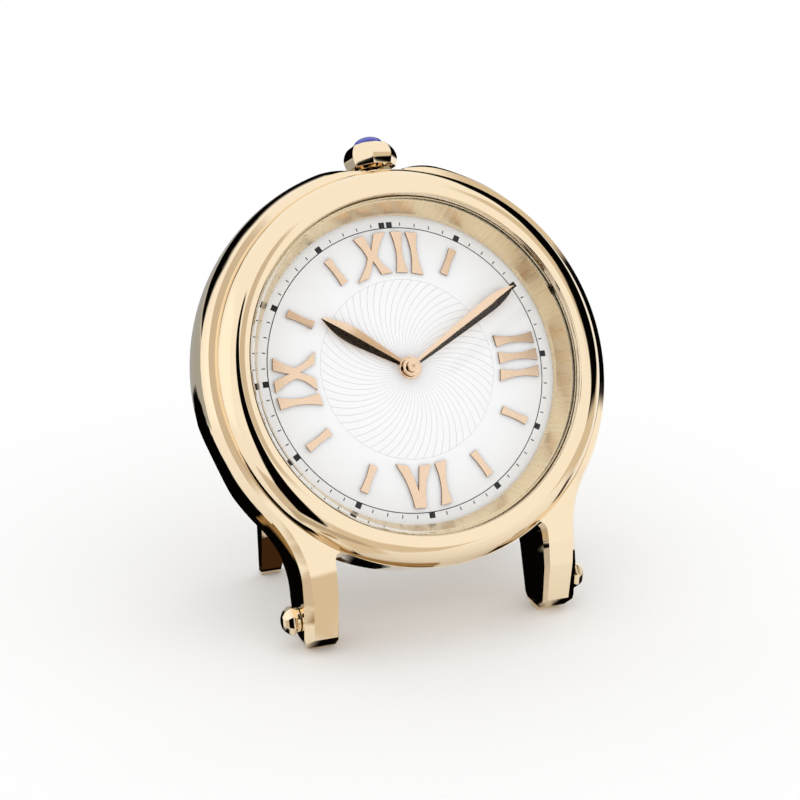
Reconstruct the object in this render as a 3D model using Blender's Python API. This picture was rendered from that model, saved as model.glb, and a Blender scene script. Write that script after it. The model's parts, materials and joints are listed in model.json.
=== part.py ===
# Table clock: a round watch-shaped case on two legs, held up by an arched stand that folds out behind.
# Metres, +Z up, the dial looks towards -Y and leans back, and the clock stands on Z = 0.
# The dial frame has X to the right, Y to 12 o'clock and Z out of the dial, and its origin is on the dial.
# In it, "high" and "low" are distances along Z: 0 is the face of the dial, and minus values lie behind it.
import bmesh
import bpy
from math import atan, cos, hypot, pi, radians, sin, sqrt, tan
from mathutils import Matrix, Vector

# Clearances and mesh fineness
GAP = 0.0003
SEAT_GAP = 0.0001
OVERRUN = 0.0010
MERGE_DISTANCE = 0.00001
ROUND_SEGMENTS = 60
SMALL_SEGMENTS = 16
SCREW_SEGMENTS = 10
SHARP_ANGLE = radians(32)

# Posture
LEAN = radians(26.66)
CASE_LIFT = 0.0056

# Case body
CASE_RADIUS = 0.0412
CASE_FRONT = 0.0039
CASE_DEPTH = 0.0131
CASE_BEVEL_WIDTH = 0.0010
CASE_BEVEL_DEPTH = 0.0018
CASE_FRONT_BARREL = 0.0009
CASE_BACK_BARREL = 0.0013
CASE_WIDEST_LOW = 0.0028
CASE_BACK_CHAMFER = 0.0004
NECK_STEP = 0.0035
CASE_WALL = 0.0020
LEDGE_WIDTH = 0.0034
LEDGE_THICKNESS = 0.0014
COVER_RECESS_RIM = 0.0005
COVER_RECESS_DEPTH = 0.00124
SHOULDER_START = radians(6.0)
SHOULDER_END = radians(20.0)
SHOULDER_SHARES = ((0.0, 0.0), (0.04, 0.42), (0.14, 0.58), (0.29, 0.74), (0.5, 0.91), (0.75, 1.0),
                   (1.0, 1.0))
FLANGE_STEPS = 18
BARREL_SHARES = (1.0, 0.8, 0.45, 0.0)

# Legs, which are part of the case body
LEG_INSET = 0.0138
LEG_WIDTH = 0.0066
LEG_INNER_BEVEL = 0.00045
LEG_FLOW_RADIUS = 0.0205
LEG_FLOW_STEPS = 6
LEG_FILLET = 0.0017
LEG_FILLET_STEPS = 4
LEG_ARCH_STEPS = 6
LEG_BARREL = 0.0003
LEG_BEVEL_TOP = 0.0012
LEG_BEVEL_FOOT = 0.0019
LEG_SLOPE_LENGTH = 0.0052
LEG_FACE_STRAIGHT = 0.0023
LEG_BREAK_DROP = 0.0016
LEG_LOWER_SLOPE = radians(32)
LEG_HEEL_SLOPE = radians(8)
FOOT_SETBACK = 0.0083
FOOT_CORNER = 0.0017
FOOT_CORNER_SLOPES = (radians(45), radians(70))
FOOT_CORNER_STEP = 0.0010
FOOT_FLAT = 0.0022
TOE_SLOPE = radians(44)
HEEL_SLOPE = radians(20)
HEEL_RUN = 0.0020
HEEL_BACK_SLOPE = radians(38)

# Bezel, crystal, its gasket and the flange ring
BEZEL_STEP = 0.0031
BEZEL_OUTER_ROUND = 0.0032
BEZEL_INNER_ROUND = 0.0026
BEZEL_HIGH = 0.0083
BEZEL_LIP_HIGH = 0.0068
BEZEL_LIP = 0.0004
BEZEL_BORE_WALL = 0.0021
BEZEL_SKIRT = 0.0030
BEZEL_STEPS = 6
BEZEL_INNER_STEPS = 3
CRYSTAL_THICKNESS = 0.0013
CRYSTAL_CHAMFER = 0.0004
GASKET_WIDTH = 0.0007
GASKET_DEPTH = 0.0009
FLANGE_RUN = 0.0015
FLANGE_WALL = 0.0019
FLANGE_LAP = 0.0009
FLANGE_HIGH = 0.0056
FLANGE_RIM = 0.0004
FLANGE_STEP = 0.0006

# Dial and applied markers
DIAL_THICKNESS = 0.0006
MARKER_THICKNESS = 0.0005
NUMERAL_MARGIN = 0.0032
NUMERAL_LENGTH = 0.0080
STROKE_END_SHARE = 0.149
STROKE_WAIST_SHARE = 0.076
BATON_MARGIN = 0.0043
BATON_LENGTH = 0.0054
BATON_END_WIDTH = 0.00165
BATON_WAIST_WIDTH = 0.00125
BATON_HOURS = (1, 2, 4, 5, 7, 8, 10, 11)

# Hands
HOUR_ANGLE = radians(305)
MINUTE_ANGLE = radians(60)
HOUR_HAND_LAP = 0.0008
HOUR_HAND_WIDTH = 0.0033
HOUR_HUB_RADIUS = 0.0022
MINUTE_HAND_MARGIN = 0.0025
MINUTE_HAND_WIDTH = 0.00275
MINUTE_HUB_RADIUS = 0.0018
HAND_EDGE = 0.00012
HAND_RIDGE = 0.0004
HAND_LIFT = 0.00035
CAP_RADIUS = 0.00112
CAP_THICKNESS = 0.0005
HOUR_HAND_SHARES = ((0.06, 0.34), (0.2, 0.5), (0.4, 0.74), (0.57, 0.95), (0.68, 1.0), (0.8, 0.84),
                    (0.91, 0.46))
MINUTE_HAND_SHARES = ((0.04, 0.34), (0.22, 0.56), (0.41, 0.74), (0.57, 0.88), (0.76, 1.0), (0.85, 0.9),
                      (0.93, 0.58))

# Motion work, behind the dial
ARBOR_RADIUS = 0.00065
HOUR_PIPE_WALL = 0.0004
HOUR_WHEEL_THICKNESS = 0.0005
MOTION_WHEEL_THICKNESS = 0.0006
MOTION_MODULE = 0.00054
CANNON_TEETH = 8
MOTION_TEETH = 24
MOTION_PINION_TEETH = 8
HOUR_TEETH = 32
SETTING_TEETH = 12
POST_RADIUS = 0.0006
MOTION_DIRECTION = radians(55)

# Going train, behind the main plate
CENTRE_MODULE = 0.00045
CENTRE_TEETH = 40
ROTOR_MODULE = 0.0003
INTERMEDIATE_TEETH = 40
PINION_TEETH = 8
TRAIN_WHEEL_THICKNESS = 0.0004
TRAIN_GAP = 0.0003
MAGNET_RADIUS = 0.0015
MAGNET_HEIGHT = 0.0009
PIVOT_RADIUS = 0.00035
INTERMEDIATE_DIRECTION = radians(0)
ROTOR_DIRECTION = radians(-90)
TOOTH_SHARE = 0.42
ADDENDUM_SHARE = 0.75
DEDENDUM_SHARE = 1.1

# Movement
MOVEMENT_RADIUS = 0.0225
HOLDER_DEPTH = 0.0054
PLATE_DROP = 0.0006
PLATE_THICKNESS = 0.0010
LUG_LENGTH = 0.0010
LUG_WIDTH = 0.0032
BRIDGE_THICKNESS = 0.0007
PILLAR_RADIUS = 0.0012
BATTERY_RADIUS = 0.0058
BATTERY_HEIGHT = 0.0030
CLIP_WIDTH = 0.0040
CLIP_THICKNESS = 0.0003
BOARD_THICKNESS = 0.0006
BOARD_WIDTH = 0.0130
BOARD_HEIGHT = 0.0080
COIL_RADIUS = 0.0014
COIL_LENGTH = 0.0140
STATOR_THICKNESS = 0.0006
STATOR_WIDTH = 0.0066
STATOR_GAP = 0.0004

# Crown and stem
CROWN_LOW = 0.0019
CROWN_STANDOFF = 0.0019
CROWN_RADIUS = 0.0053
CROWN_HEIGHT = 0.0057
CROWN_TURN = radians(7)
CROWN_COLLAR_SHARE = 0.68
CROWN_SHARES = ((0.09, 0.90), (0.45, 1.0), (0.74, 0.93), (0.95, 0.77))
CROWN_TOP_SHARE = 0.64
CROWN_SEAT = 0.0010
CABOCHON_RADIUS = 0.0029
CABOCHON_DOME = 0.0011
CABOCHON_RINGS = 5
TUBE_RADIUS = 0.0024
TUBE_WALL = 0.0012
STEM_RADIUS = 0.0005
STEM_SQUARE = 0.0007
STEM_GRIP = 0.0024
SETTING_PINION_RADIUS = 0.0010
SETTING_PINION_LENGTH = 0.0017
SETTING_PINION_TEETH = 8
SETTING_TOOTH_DEPTH = 0.00022

# Leg caps
LEG_CAP_DROP = 0.0022
LEG_CAP_LOW = 0.0047
LEG_CAP_COLLAR_RADIUS = 0.0023
LEG_CAP_COLLAR = 0.0005
LEG_CAP_RADIUS = 0.0028
LEG_CAP_LENGTH = 0.0026
LEG_CAP_SHARES = ((0.06, 0.86), (0.34, 1.0), (0.72, 0.8), (1.0, 0.42))
LEG_CAP_TURN = radians(10)
LEG_CAP_SHANK_RADIUS = 0.0009
LEG_CAP_SHANK_LENGTH = 0.0034

# Back cover and its screws
COVER_THICKNESS = 0.0013
COVER_RIM = 0.0003
COVER_CHAMFER = 0.0005
COVER_BOSS = 0.0010
COVER_BOSS_DEPTH = 0.0013
COVER_GASKET_WIDTH = 0.0007
SCREW_RIM = 0.0025
SCREW_ANGLES = (radians(45), radians(135), radians(225), radians(315))
SCREW_SHANK = 0.0005
SCREW_HEAD = 0.0011
SCREW_HEAD_HEIGHT = 0.0005
SCREW_SLOT_WIDTH = 0.00036
SCREW_SLOT_DEPTH = 0.00025

# Stand and its hinge
HINGE_UP = 0.0128
HINGE_LOW = 0.0124
STAND_SPLAY = radians(3.1)
STAND_THICKNESS = 0.0032
STAND_FOOT_THICKNESS = 0.0017
STAND_TAPER = 0.0120
STAND_WIDTH = 0.0504
STAND_FOOT_WIDTH = 0.0042
STAND_LEG_FLARE = radians(13)
STAND_NECK_DROP = 0.0026
STAND_SHOULDER_DROP = 0.0200
STAND_ARCH_DROP = 0.0078
STAND_SHOULDER_STEPS = 5
STAND_ARCH_SEGMENTS = 12
BARREL_RADIUS = 0.0014
BARREL_LENGTH = 0.0154
PIN_RADIUS = 0.0006
EAR_THICKNESS = 0.0020
EAR_RADIUS = 0.0022
BRACKET_THICKNESS = 0.0005
BRACKET_RISE = 0.0090
BRACKET_SCREW_SPACING = 0.0120
STOP_RISE = 0.0030
STOP_THICKNESS = 0.0024

# Worked-out radii and places, from the case outwards and inwards
DIAL_HEIGHT = CASE_RADIUS + CASE_LIFT
NECK_RADIUS = CASE_RADIUS - NECK_STEP
COVER_RECESS_RADIUS = NECK_RADIUS - COVER_RECESS_RIM
SCREW_CIRCLE = COVER_RECESS_RADIUS - SCREW_RIM
CROWN_BASE = NECK_RADIUS + CROWN_STANDOFF
LEG_OUTER = CASE_RADIUS - LEG_INSET
LEG_FLOW_END = sqrt((CASE_RADIUS + LEG_FLOW_RADIUS) ** 2 - (LEG_OUTER + LEG_FLOW_RADIUS) ** 2)
LEG_BREAK = LEG_FLOW_END + LEG_FACE_STRAIGHT
LEG_SLOPE_START = LEG_BREAK - LEG_SLOPE_LENGTH
LEG_CAP_DOWN = LEG_BREAK + LEG_CAP_DROP
FOOT_REACH = DIAL_HEIGHT * tan(LEAN) - FOOT_SETBACK
BEZEL_RADIUS = CASE_RADIUS - BEZEL_STEP
BEZEL_CREST_RADIUS = BEZEL_RADIUS - BEZEL_OUTER_ROUND
BEZEL_INNER_RADIUS = BEZEL_CREST_RADIUS - BEZEL_INNER_ROUND
FLANGE_HIGH_RADIUS = BEZEL_INNER_RADIUS - FLANGE_LAP
FLANGE_LOW_RADIUS = FLANGE_HIGH_RADIUS - FLANGE_RUN
NUMERAL_OUTER = FLANGE_LOW_RADIUS - NUMERAL_MARGIN
NUMERAL_INNER = NUMERAL_OUTER - NUMERAL_LENGTH
BATON_OUTER = FLANGE_LOW_RADIUS - BATON_MARGIN
BATON_INNER = BATON_OUTER - BATON_LENGTH
HOUR_HAND_LENGTH = NUMERAL_INNER + HOUR_HAND_LAP
MINUTE_HAND_LENGTH = FLANGE_LOW_RADIUS - MINUTE_HAND_MARGIN

# Worked-out heights in the dial frame, from the front to the back
CASE_BACK = CASE_FRONT - CASE_DEPTH
CAVITY_RADIUS = NECK_RADIUS - CASE_WALL
BACK_OPENING_RADIUS = CAVITY_RADIUS - LEDGE_WIDTH
LEDGE_BACK = CASE_BACK + COVER_RECESS_DEPTH
LEDGE_FRONT = LEDGE_BACK + LEDGE_THICKNESS
LEG_INNER = LEG_OUTER - LEG_WIDTH
LEG_END = DIAL_HEIGHT / cos(LEAN)
DIAL_BACK = -DIAL_THICKNESS
FLANGE_OUTER_RADIUS = BEZEL_INNER_RADIUS + BEZEL_LIP + SEAT_GAP + SEAT_GAP
DIAL_RADIUS = FLANGE_OUTER_RADIUS + SEAT_GAP
BEZEL_BORE_RADIUS = BEZEL_INNER_RADIUS + BEZEL_LIP + GAP + GAP
CRYSTAL_RADIUS = BEZEL_INNER_RADIUS - GAP
CRYSTAL_LOW = FLANGE_HIGH + GAP
CRYSTAL_HIGH = CRYSTAL_LOW + CRYSTAL_THICKNESS
MARKER_LOW = SEAT_GAP
MARKER_HIGH = MARKER_LOW + MARKER_THICKNESS
HOUR_HAND_LOW = MARKER_HIGH + GAP
HOUR_HAND_HIGH = HOUR_HAND_LOW + HAND_EDGE + HAND_RIDGE
MINUTE_HAND_LOW = HOUR_HAND_HIGH + HAND_LIFT
MINUTE_HAND_HIGH = MINUTE_HAND_LOW + HAND_EDGE + HAND_RIDGE
CAP_LOW = MINUTE_HAND_HIGH + GAP
HOUR_PIPE_BORE = ARBOR_RADIUS + GAP
HOUR_PIPE_RADIUS = HOUR_PIPE_BORE + HOUR_PIPE_WALL
DIAL_HOLE_RADIUS = HOUR_PIPE_RADIUS + GAP
HOUR_WHEEL_HIGH = DIAL_BACK - GAP
HOUR_WHEEL_LOW = HOUR_WHEEL_HIGH - HOUR_WHEEL_THICKNESS
MOTION_WHEEL_HIGH = HOUR_WHEEL_LOW - GAP
MOTION_WHEEL_LOW = MOTION_WHEEL_HIGH - MOTION_WHEEL_THICKNESS
PLATE_FRONT = MOTION_WHEEL_LOW - PLATE_DROP
PLATE_BACK = PLATE_FRONT - PLATE_THICKNESS
CENTRE_WHEEL_HIGH = PLATE_BACK - TRAIN_GAP
CENTRE_WHEEL_LOW = CENTRE_WHEEL_HIGH - TRAIN_WHEEL_THICKNESS
INTERMEDIATE_HIGH = CENTRE_WHEEL_LOW - TRAIN_GAP
INTERMEDIATE_LOW = INTERMEDIATE_HIGH - TRAIN_WHEEL_THICKNESS
MAGNET_HIGH = INTERMEDIATE_LOW - TRAIN_GAP
MAGNET_LOW = MAGNET_HIGH - MAGNET_HEIGHT
BRIDGE_HIGH = MAGNET_LOW - TRAIN_GAP
BRIDGE_LOW = BRIDGE_HIGH - BRIDGE_THICKNESS
COVER_SEAT = LEDGE_BACK - GAP
COVER_INNER = COVER_SEAT - COVER_RIM
COVER_OUTER = COVER_INNER - COVER_THICKNESS
BRACKET_HIGH = COVER_OUTER - SEAT_GAP
BRACKET_LOW = BRACKET_HIGH - BRACKET_THICKNESS
MOTION_DISTANCE = MOTION_MODULE * (CANNON_TEETH + MOTION_TEETH) / 2
HOUR_MODULE = 2 * MOTION_DISTANCE / (MOTION_PINION_TEETH + HOUR_TEETH)
SETTING_DISTANCE = MOTION_MODULE * (MOTION_TEETH + SETTING_TEETH) / 2
CENTRE_DISTANCE = CENTRE_MODULE * (CENTRE_TEETH + PINION_TEETH) / 2
ROTOR_DISTANCE = ROTOR_MODULE * (INTERMEDIATE_TEETH + PINION_TEETH) / 2

MATERIALS = {
    "polished_rose_gold": ((0.86, 0.66, 0.45), 0.08, 1.0),
    "applied_gold": ((0.90, 0.70, 0.53), 0.18, 1.0),
    "dial_white": ((0.92, 0.92, 0.91), 0.35, 0.0),
    "crystal_glass": ((0.95, 0.97, 0.98), 0.02, 0.0),
    "blue_stone": ((0.02, 0.03, 0.35), 0.05, 0.0),
    "black_rubber": ((0.03, 0.03, 0.03), 0.7, 0.0),
    "movement_brass": ((0.72, 0.55, 0.28), 0.25, 1.0),
    "steel": ((0.62, 0.62, 0.64), 0.22, 1.0),
    "holder_plastic": ((0.82, 0.82, 0.80), 0.5, 0.0),
    "board_green": ((0.03, 0.22, 0.10), 0.4, 0.0),
    "coil_copper": ((0.70, 0.32, 0.16), 0.35, 1.0),
    "battery_steel": ((0.75, 0.75, 0.74), 0.2, 1.0),
}


def clear_scene():
    for thing in list(bpy.data.objects):
        bpy.data.objects.remove(thing, do_unlink=True)


def make_materials():
    made = {}
    for name, (color, roughness, metallic) in MATERIALS.items():
        surface = bpy.data.materials.new(name)
        surface.use_nodes = True
        shader = surface.node_tree.nodes["Principled BSDF"]
        shader.inputs["Base Color"].default_value = (*color, 1.0)
        shader.inputs["Roughness"].default_value = roughness
        shader.inputs["Metallic"].default_value = metallic
        made[name] = surface
    return made


def make_empty(name, parent=None, location=(0, 0, 0), rotation=(0, 0, 0)):
    empty = bpy.data.objects.new(name, None)
    bpy.context.collection.objects.link(empty)
    empty.parent = parent
    empty.location = location
    empty.rotation_euler = rotation
    return empty


def place(name, bm, parent, material=None, location=(0, 0, 0), turn=0.0):
    # Turns a bmesh into an object. Without a material it is a cutter or a guide.
    bmesh.ops.recalc_face_normals(bm, faces=bm.faces)
    mesh = bpy.data.meshes.new(name)
    bm.to_mesh(mesh)
    bm.free()
    mesh.shade_smooth()
    mesh.set_sharp_from_angle(angle=SHARP_ANGLE)
    thing = bpy.data.objects.new(name, mesh)
    bpy.context.collection.objects.link(thing)
    thing.parent = parent
    thing.location = location
    thing.rotation_euler = (0, 0, turn)
    if material is None:
        thing.hide_render = True
        thing.display_type = "WIRE"
    else:
        mesh.materials.append(material)
    return thing


def combine(target, tool, operation):
    modifier = target.modifiers.new(tool.name, "BOOLEAN")
    modifier.operation = operation
    modifier.object = tool
    return target


# Shapes

def turned(profile, segments=ROUND_SEGMENTS):
    # A closed profile of (radius, height) turned round Z.
    bm = bmesh.new()
    verts = [bm.verts.new((radius, 0, height)) for radius, height in profile]
    edges = []
    for first, second in zip(verts, verts[1:] + verts[:1]):
        if first.co.x > 0 or second.co.x > 0:
            edges.append(bm.edges.new((first, second)))
    bmesh.ops.spin(bm, geom=verts + edges, axis=(0, 0, 1), cent=(0, 0, 0), angle=2 * pi, steps=segments,
                   use_merge=True)
    bmesh.ops.remove_doubles(bm, verts=bm.verts, dist=MERGE_DISTANCE)
    return bm


def rod(radius, low, high, segments=SMALL_SEGMENTS):
    return turned(((0, low), (radius, low), (radius, high), (0, high)), segments)


def tube(inner, outer, low, high, segments=ROUND_SEGMENTS):
    return turned(((inner, low), (outer, low), (outer, high), (inner, high)), segments)


def prism(outline, low, high):
    bm = bmesh.new()
    face = bm.faces.new([bm.verts.new((x, y, low)) for x, y in outline])
    lifted = bmesh.ops.extrude_face_region(bm, geom=[face])
    top = [item for item in lifted["geom"] if isinstance(item, bmesh.types.BMVert)]
    bmesh.ops.translate(bm, vec=(0, 0, high - low), verts=top)
    return bm


def block(low_corner, high_corner):
    (x0, y0, z0), (x1, y1, z1) = low_corner, high_corner
    return prism(((x0, y0), (x1, y0), (x1, y1), (x0, y1)), z0, z1)


def lofted(rings):
    # Rings with equal numbers of points, joined side to side and closed at both ends.
    bm = bmesh.new()
    loops = [[bm.verts.new(point) for point in ring] for ring in rings]
    for lower, upper in zip(loops, loops[1:]):
        count = len(lower)
        for i in range(count):
            j = (i + 1) % count
            bm.faces.new((lower[i], lower[j], upper[j], upper[i]))
    bm.faces.new(loops[0])
    bm.faces.new(loops[-1])
    return bm


def along_axis(bm, turn):
    bmesh.ops.transform(bm, matrix=turn, verts=bm.verts)
    return bm


def faceted_ring(radius, height, sides, turn, is_round):
    # A ring with a point at each corner of a polygon and one in the middle of each side.
    ring = []
    for i in range(2 * sides):
        reach = radius if is_round or i % 2 == 0 else radius * cos(pi / sides)
        angle = turn + pi * i / sides
        ring.append((reach * cos(angle), reach * sin(angle), height))
    return ring


def gear_outline(teeth, module, phase):
    # Straight-sided teeth with the middle of one tooth at the angle phase.
    pitch_radius = module * teeth / 2
    tip_radius = pitch_radius + ADDENDUM_SHARE * module
    root_radius = pitch_radius - DEDENDUM_SHARE * module
    pitch = 2 * pi / teeth
    tip_half = pitch * TOOTH_SHARE / 2 * (1 - ADDENDUM_SHARE / 2)
    root_half = pitch * TOOTH_SHARE / 2 * (1 + DEDENDUM_SHARE / 4)
    outline = []
    for i in range(teeth):
        middle = phase + i * pitch
        for radius, angle in ((root_radius, middle - root_half), (tip_radius, middle - tip_half),
                              (tip_radius, middle + tip_half), (root_radius, middle + root_half)):
            outline.append((radius * cos(angle), radius * sin(angle)))
    return outline


def meshed_phase(phase, teeth, other_teeth, direction):
    # Phase of a gear that meshes with another one, which lies opposite to direction from it.
    return direction + pi - (phase - direction) * teeth / other_teeth + pi / other_teeth


def direction_point(distance, direction):
    return Vector((distance * cos(direction), distance * sin(direction), 0))


# Case body with its legs

def shoulder_radius(angle):
    # The flange runs out to the neck beside the crown.
    share = (angle - SHOULDER_START) / (SHOULDER_END - SHOULDER_START)
    for (start, low), (end, high) in zip(SHOULDER_SHARES, SHOULDER_SHARES[1:]):
        if share <= end:
            return low + (high - low) * (share - start) / (end - start)
    return 1.0


def leg_rows():
    # Distances below the dial centre at which the straight part of a leg has points.
    foot_row = (LEG_BREAK + LEG_END) / 2
    return (LEG_BREAK, foot_row, LEG_END)


def case_outline(inset, leg_inset, arch_inset):
    # Right half of the case's outline from 12 o'clock to 6 o'clock, with the leg, as (x, y) points.
    points = [(0, NECK_RADIUS)]
    for share, _ in SHOULDER_SHARES:
        angle = SHOULDER_START + share * (SHOULDER_END - SHOULDER_START)
        fullness = shoulder_radius(angle)
        radius = NECK_RADIUS + fullness * (CASE_RADIUS - inset - NECK_RADIUS)
        points.append((radius * sin(angle), radius * cos(angle)))
    side = LEG_OUTER - leg_inset
    radius = CASE_RADIUS - inset
    flow = LEG_FLOW_RADIUS + inset
    flow_x = side + flow
    flow_y = -sqrt((radius + flow) ** 2 - flow_x ** 2)
    flow_angle = pi / 2 + atan(-flow_y / flow_x)
    for i in range(1, FLANGE_STEPS + 1):
        angle = SHOULDER_END + (flow_angle - SHOULDER_END) * i / FLANGE_STEPS
        points.append((radius * sin(angle), radius * cos(angle)))
    turn = flow_angle - pi / 2
    for i in range(1, LEG_FLOW_STEPS + 1):
        angle = turn * (1 - i / LEG_FLOW_STEPS)
        points.append((flow_x - flow * cos(angle), flow_y + flow * sin(angle)))
    outer = len(points)
    for row in leg_rows():
        points.append((side, -row))
    inner = LEG_INNER + arch_inset
    for row in reversed(leg_rows()):
        points.append((inner, -row))
    points.append((inner, points[outer - 1][1]))
    fillet = LEG_FILLET + arch_inset
    fillet_x = LEG_INNER - LEG_FILLET
    fillet_y = -sqrt((NECK_RADIUS + LEG_FILLET) ** 2 - fillet_x ** 2)
    end_turn = atan(-fillet_y / fillet_x)
    for i in range(LEG_FILLET_STEPS + 1):
        angle = end_turn * i / LEG_FILLET_STEPS
        points.append((fillet_x + fillet * cos(angle), fillet_y + fillet * sin(angle)))
    start = pi / 2 + end_turn
    arch_radius = NECK_RADIUS - arch_inset
    for i in range(1, LEG_ARCH_STEPS):
        angle = start + (pi - start) * i / LEG_ARCH_STEPS
        points.append((arch_radius * sin(angle), arch_radius * cos(angle)))
    points.append((0, -arch_radius))
    return points, outer


def leg_front(y):
    down = -y
    if down <= LEG_SLOPE_START:
        return CASE_FRONT
    if down <= LEG_BREAK:
        share = (down - LEG_SLOPE_START) / (LEG_BREAK - LEG_SLOPE_START)
        return CASE_FRONT - LEG_BREAK_DROP * share
    return CASE_FRONT - LEG_BREAK_DROP - (down - LEG_BREAK) * tan(LEG_LOWER_SLOPE)


def leg_back(y):
    return CASE_BACK - max(0.0, -y - LEG_SLOPE_START) * tan(LEG_HEEL_SLOPE)


def case_station(height, inset, leg_inset, foot_inset, arch_inset):
    points, outer = case_outline(inset, leg_inset, arch_inset)
    share = (height - CASE_BACK) / CASE_DEPTH
    ring = []
    for index, (x, y) in enumerate(points):
        if outer <= index < outer + len(leg_rows()):
            x -= (foot_inset - leg_inset) * (-y - LEG_SLOPE_START) / (LEG_END - LEG_SLOPE_START)
        back, front = leg_back(y), leg_front(y)
        ring.append((x, y, back + share * (front - back)))
    mirrored = [(-x, y, z) for x, y, z in reversed(ring[1:-1])]
    return ring + mirrored, outer


def case_shape():
    widest = -CASE_WIDEST_LOW
    chamfer = CASE_BACK_CHAMFER
    back_depth = widest - CASE_BACK - chamfer
    bevel_start = CASE_FRONT - CASE_BEVEL_DEPTH
    stations = [(CASE_BACK, CASE_BACK_BARREL + chamfer, LEG_BARREL + chamfer, LEG_BARREL + chamfer, 0)]
    for share in BARREL_SHARES:
        leg = LEG_BARREL * share ** 2
        stations.append((widest - share * back_depth, CASE_BACK_BARREL * share ** 2, leg, leg, 0))
    middle = (widest + bevel_start) / 2
    stations.append((middle, CASE_FRONT_BARREL / 4, 0, 0, 0))
    stations.append((bevel_start, CASE_FRONT_BARREL, 0, 0, 0))
    stations.append((CASE_FRONT, CASE_FRONT_BARREL + CASE_BEVEL_WIDTH, LEG_BEVEL_TOP, LEG_BEVEL_FOOT,
                     LEG_INNER_BEVEL))
    bm = bmesh.new()
    loops = []
    for height, inset, leg_inset, foot_inset, arch_inset in stations:
        ring, outer = case_station(height, inset, leg_inset, foot_inset, arch_inset)
        loops.append([bm.verts.new(point) for point in ring])
    count = len(loops[0])
    for lower, upper in zip(loops, loops[1:]):
        for i in range(count):
            j = (i + 1) % count
            bm.faces.new((lower[i], lower[j], upper[j], upper[i]))
    rows = len(leg_rows())
    last = outer - 1
    for loop in (loops[0], loops[-1]):
        for i in range(rows):
            right = (last + i, last + i + 1, last + 2 * rows - i, last + 2 * rows + 1 - i)
            bm.faces.new([loop[k] for k in right])
            bm.faces.new([loop[count - k] for k in right])
        kept = [k for k in range(count) if not last < k < last + 2 * rows + 1
                and not last < count - k < last + 2 * rows + 1]
        bm.faces.new([loop[k] for k in kept])
    return bm


def cut_below(bm, point, normal):
    # Removes what lies beyond a plane and closes the cut.
    geometry = bm.verts[:] + bm.edges[:] + bm.faces[:]
    bmesh.ops.bisect_plane(bm, geom=geometry, plane_co=point, plane_no=normal, clear_outer=True)
    open_edges = [edge for edge in bm.edges if edge.is_boundary]
    bmesh.ops.holes_fill(bm, edges=open_edges)


def shape_feet(bm, frame):
    # Planes given in the world, square to YZ, taken into the dial frame.
    to_dial = frame.inverted()
    middle = Vector((0, frame.translation.y - FOOT_REACH, 0))
    toe = middle + Vector((0, -FOOT_FLAT / 2, 0))
    heel = middle + Vector((0, FOOT_FLAT / 2, 0))
    back = heel + Vector((0, HEEL_RUN, HEEL_RUN * tan(HEEL_SLOPE)))
    planes = ((middle, 0), (toe, TOE_SLOPE), (heel, -HEEL_SLOPE), (back, -HEEL_BACK_SLOPE))
    for point, slope in planes:
        normal = Vector((0, -sin(slope), -cos(slope)))
        cut_below(bm, to_dial @ point, to_dial.to_3x3() @ normal)
    # The outer corner of each foot is rounded off with two facets.
    for side in (-1, 1):
        corner = Vector((side * (LEG_OUTER - FOOT_CORNER), 0, 0))
        for slope in FOOT_CORNER_SLOPES:
            normal = Vector((side * sin(slope), 0, -cos(slope)))
            cut_below(bm, to_dial @ corner, to_dial.to_3x3() @ normal)
            corner += Vector((side * FOOT_CORNER_STEP * cos(slope), 0, FOOT_CORNER_STEP * sin(slope)))


def cavity_shape():
    return turned(((0, CASE_FRONT + OVERRUN), (CAVITY_RADIUS, CASE_FRONT + OVERRUN),
                   (CAVITY_RADIUS, LEDGE_FRONT), (BACK_OPENING_RADIUS, LEDGE_FRONT),
                   (BACK_OPENING_RADIUS, LEDGE_BACK),
                   (COVER_RECESS_RADIUS, LEDGE_BACK), (COVER_RECESS_RADIUS, CASE_BACK - OVERRUN),
                   (0, CASE_BACK - OVERRUN)))


def screw_point(angle):
    return (SCREW_CIRCLE * sin(angle), SCREW_CIRCLE * cos(angle), 0)


def make_case(dial, crown_axis, cap_axes, frame, material):
    bm = case_shape()
    shape_feet(bm, frame)
    case = place("case_body", bm, dial, material)
    combine(case, place("cavity_cutter", cavity_shape(), dial), "DIFFERENCE")
    hole = rod(TUBE_RADIUS + GAP, CAVITY_RADIUS - OVERRUN, NECK_RADIUS + OVERRUN)
    combine(case, place("tube_hole_cutter", hole, crown_axis), "DIFFERENCE")
    for side, axis in cap_axes.items():
        depth = LEG_CAP_SHANK_LENGTH + GAP
        hole = rod(LEG_CAP_SHANK_RADIUS + GAP, LEG_OUTER - depth, LEG_OUTER + OVERRUN, SCREW_SEGMENTS)
        combine(case, place("leg_cap_hole_cutter_" + side, hole, axis), "DIFFERENCE")
    for number, angle in enumerate(SCREW_ANGLES, 1):
        hole = rod(SCREW_SHANK + GAP, LEDGE_BACK - OVERRUN, LEDGE_FRONT + OVERRUN, SCREW_SEGMENTS)
        cutter = place("case_screw_hole_cutter_%d" % number, hole, dial, location=screw_point(angle))
        combine(case, cutter, "DIFFERENCE")


# Bezel, crystal, gasket and flange ring

def quarter_curve(middle, radii, start, end, steps):
    return [(middle[0] + radii[0] * cos(start + (end - start) * i / steps),
             middle[1] + radii[1] * sin(start + (end - start) * i / steps)) for i in range(steps + 1)]


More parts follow.
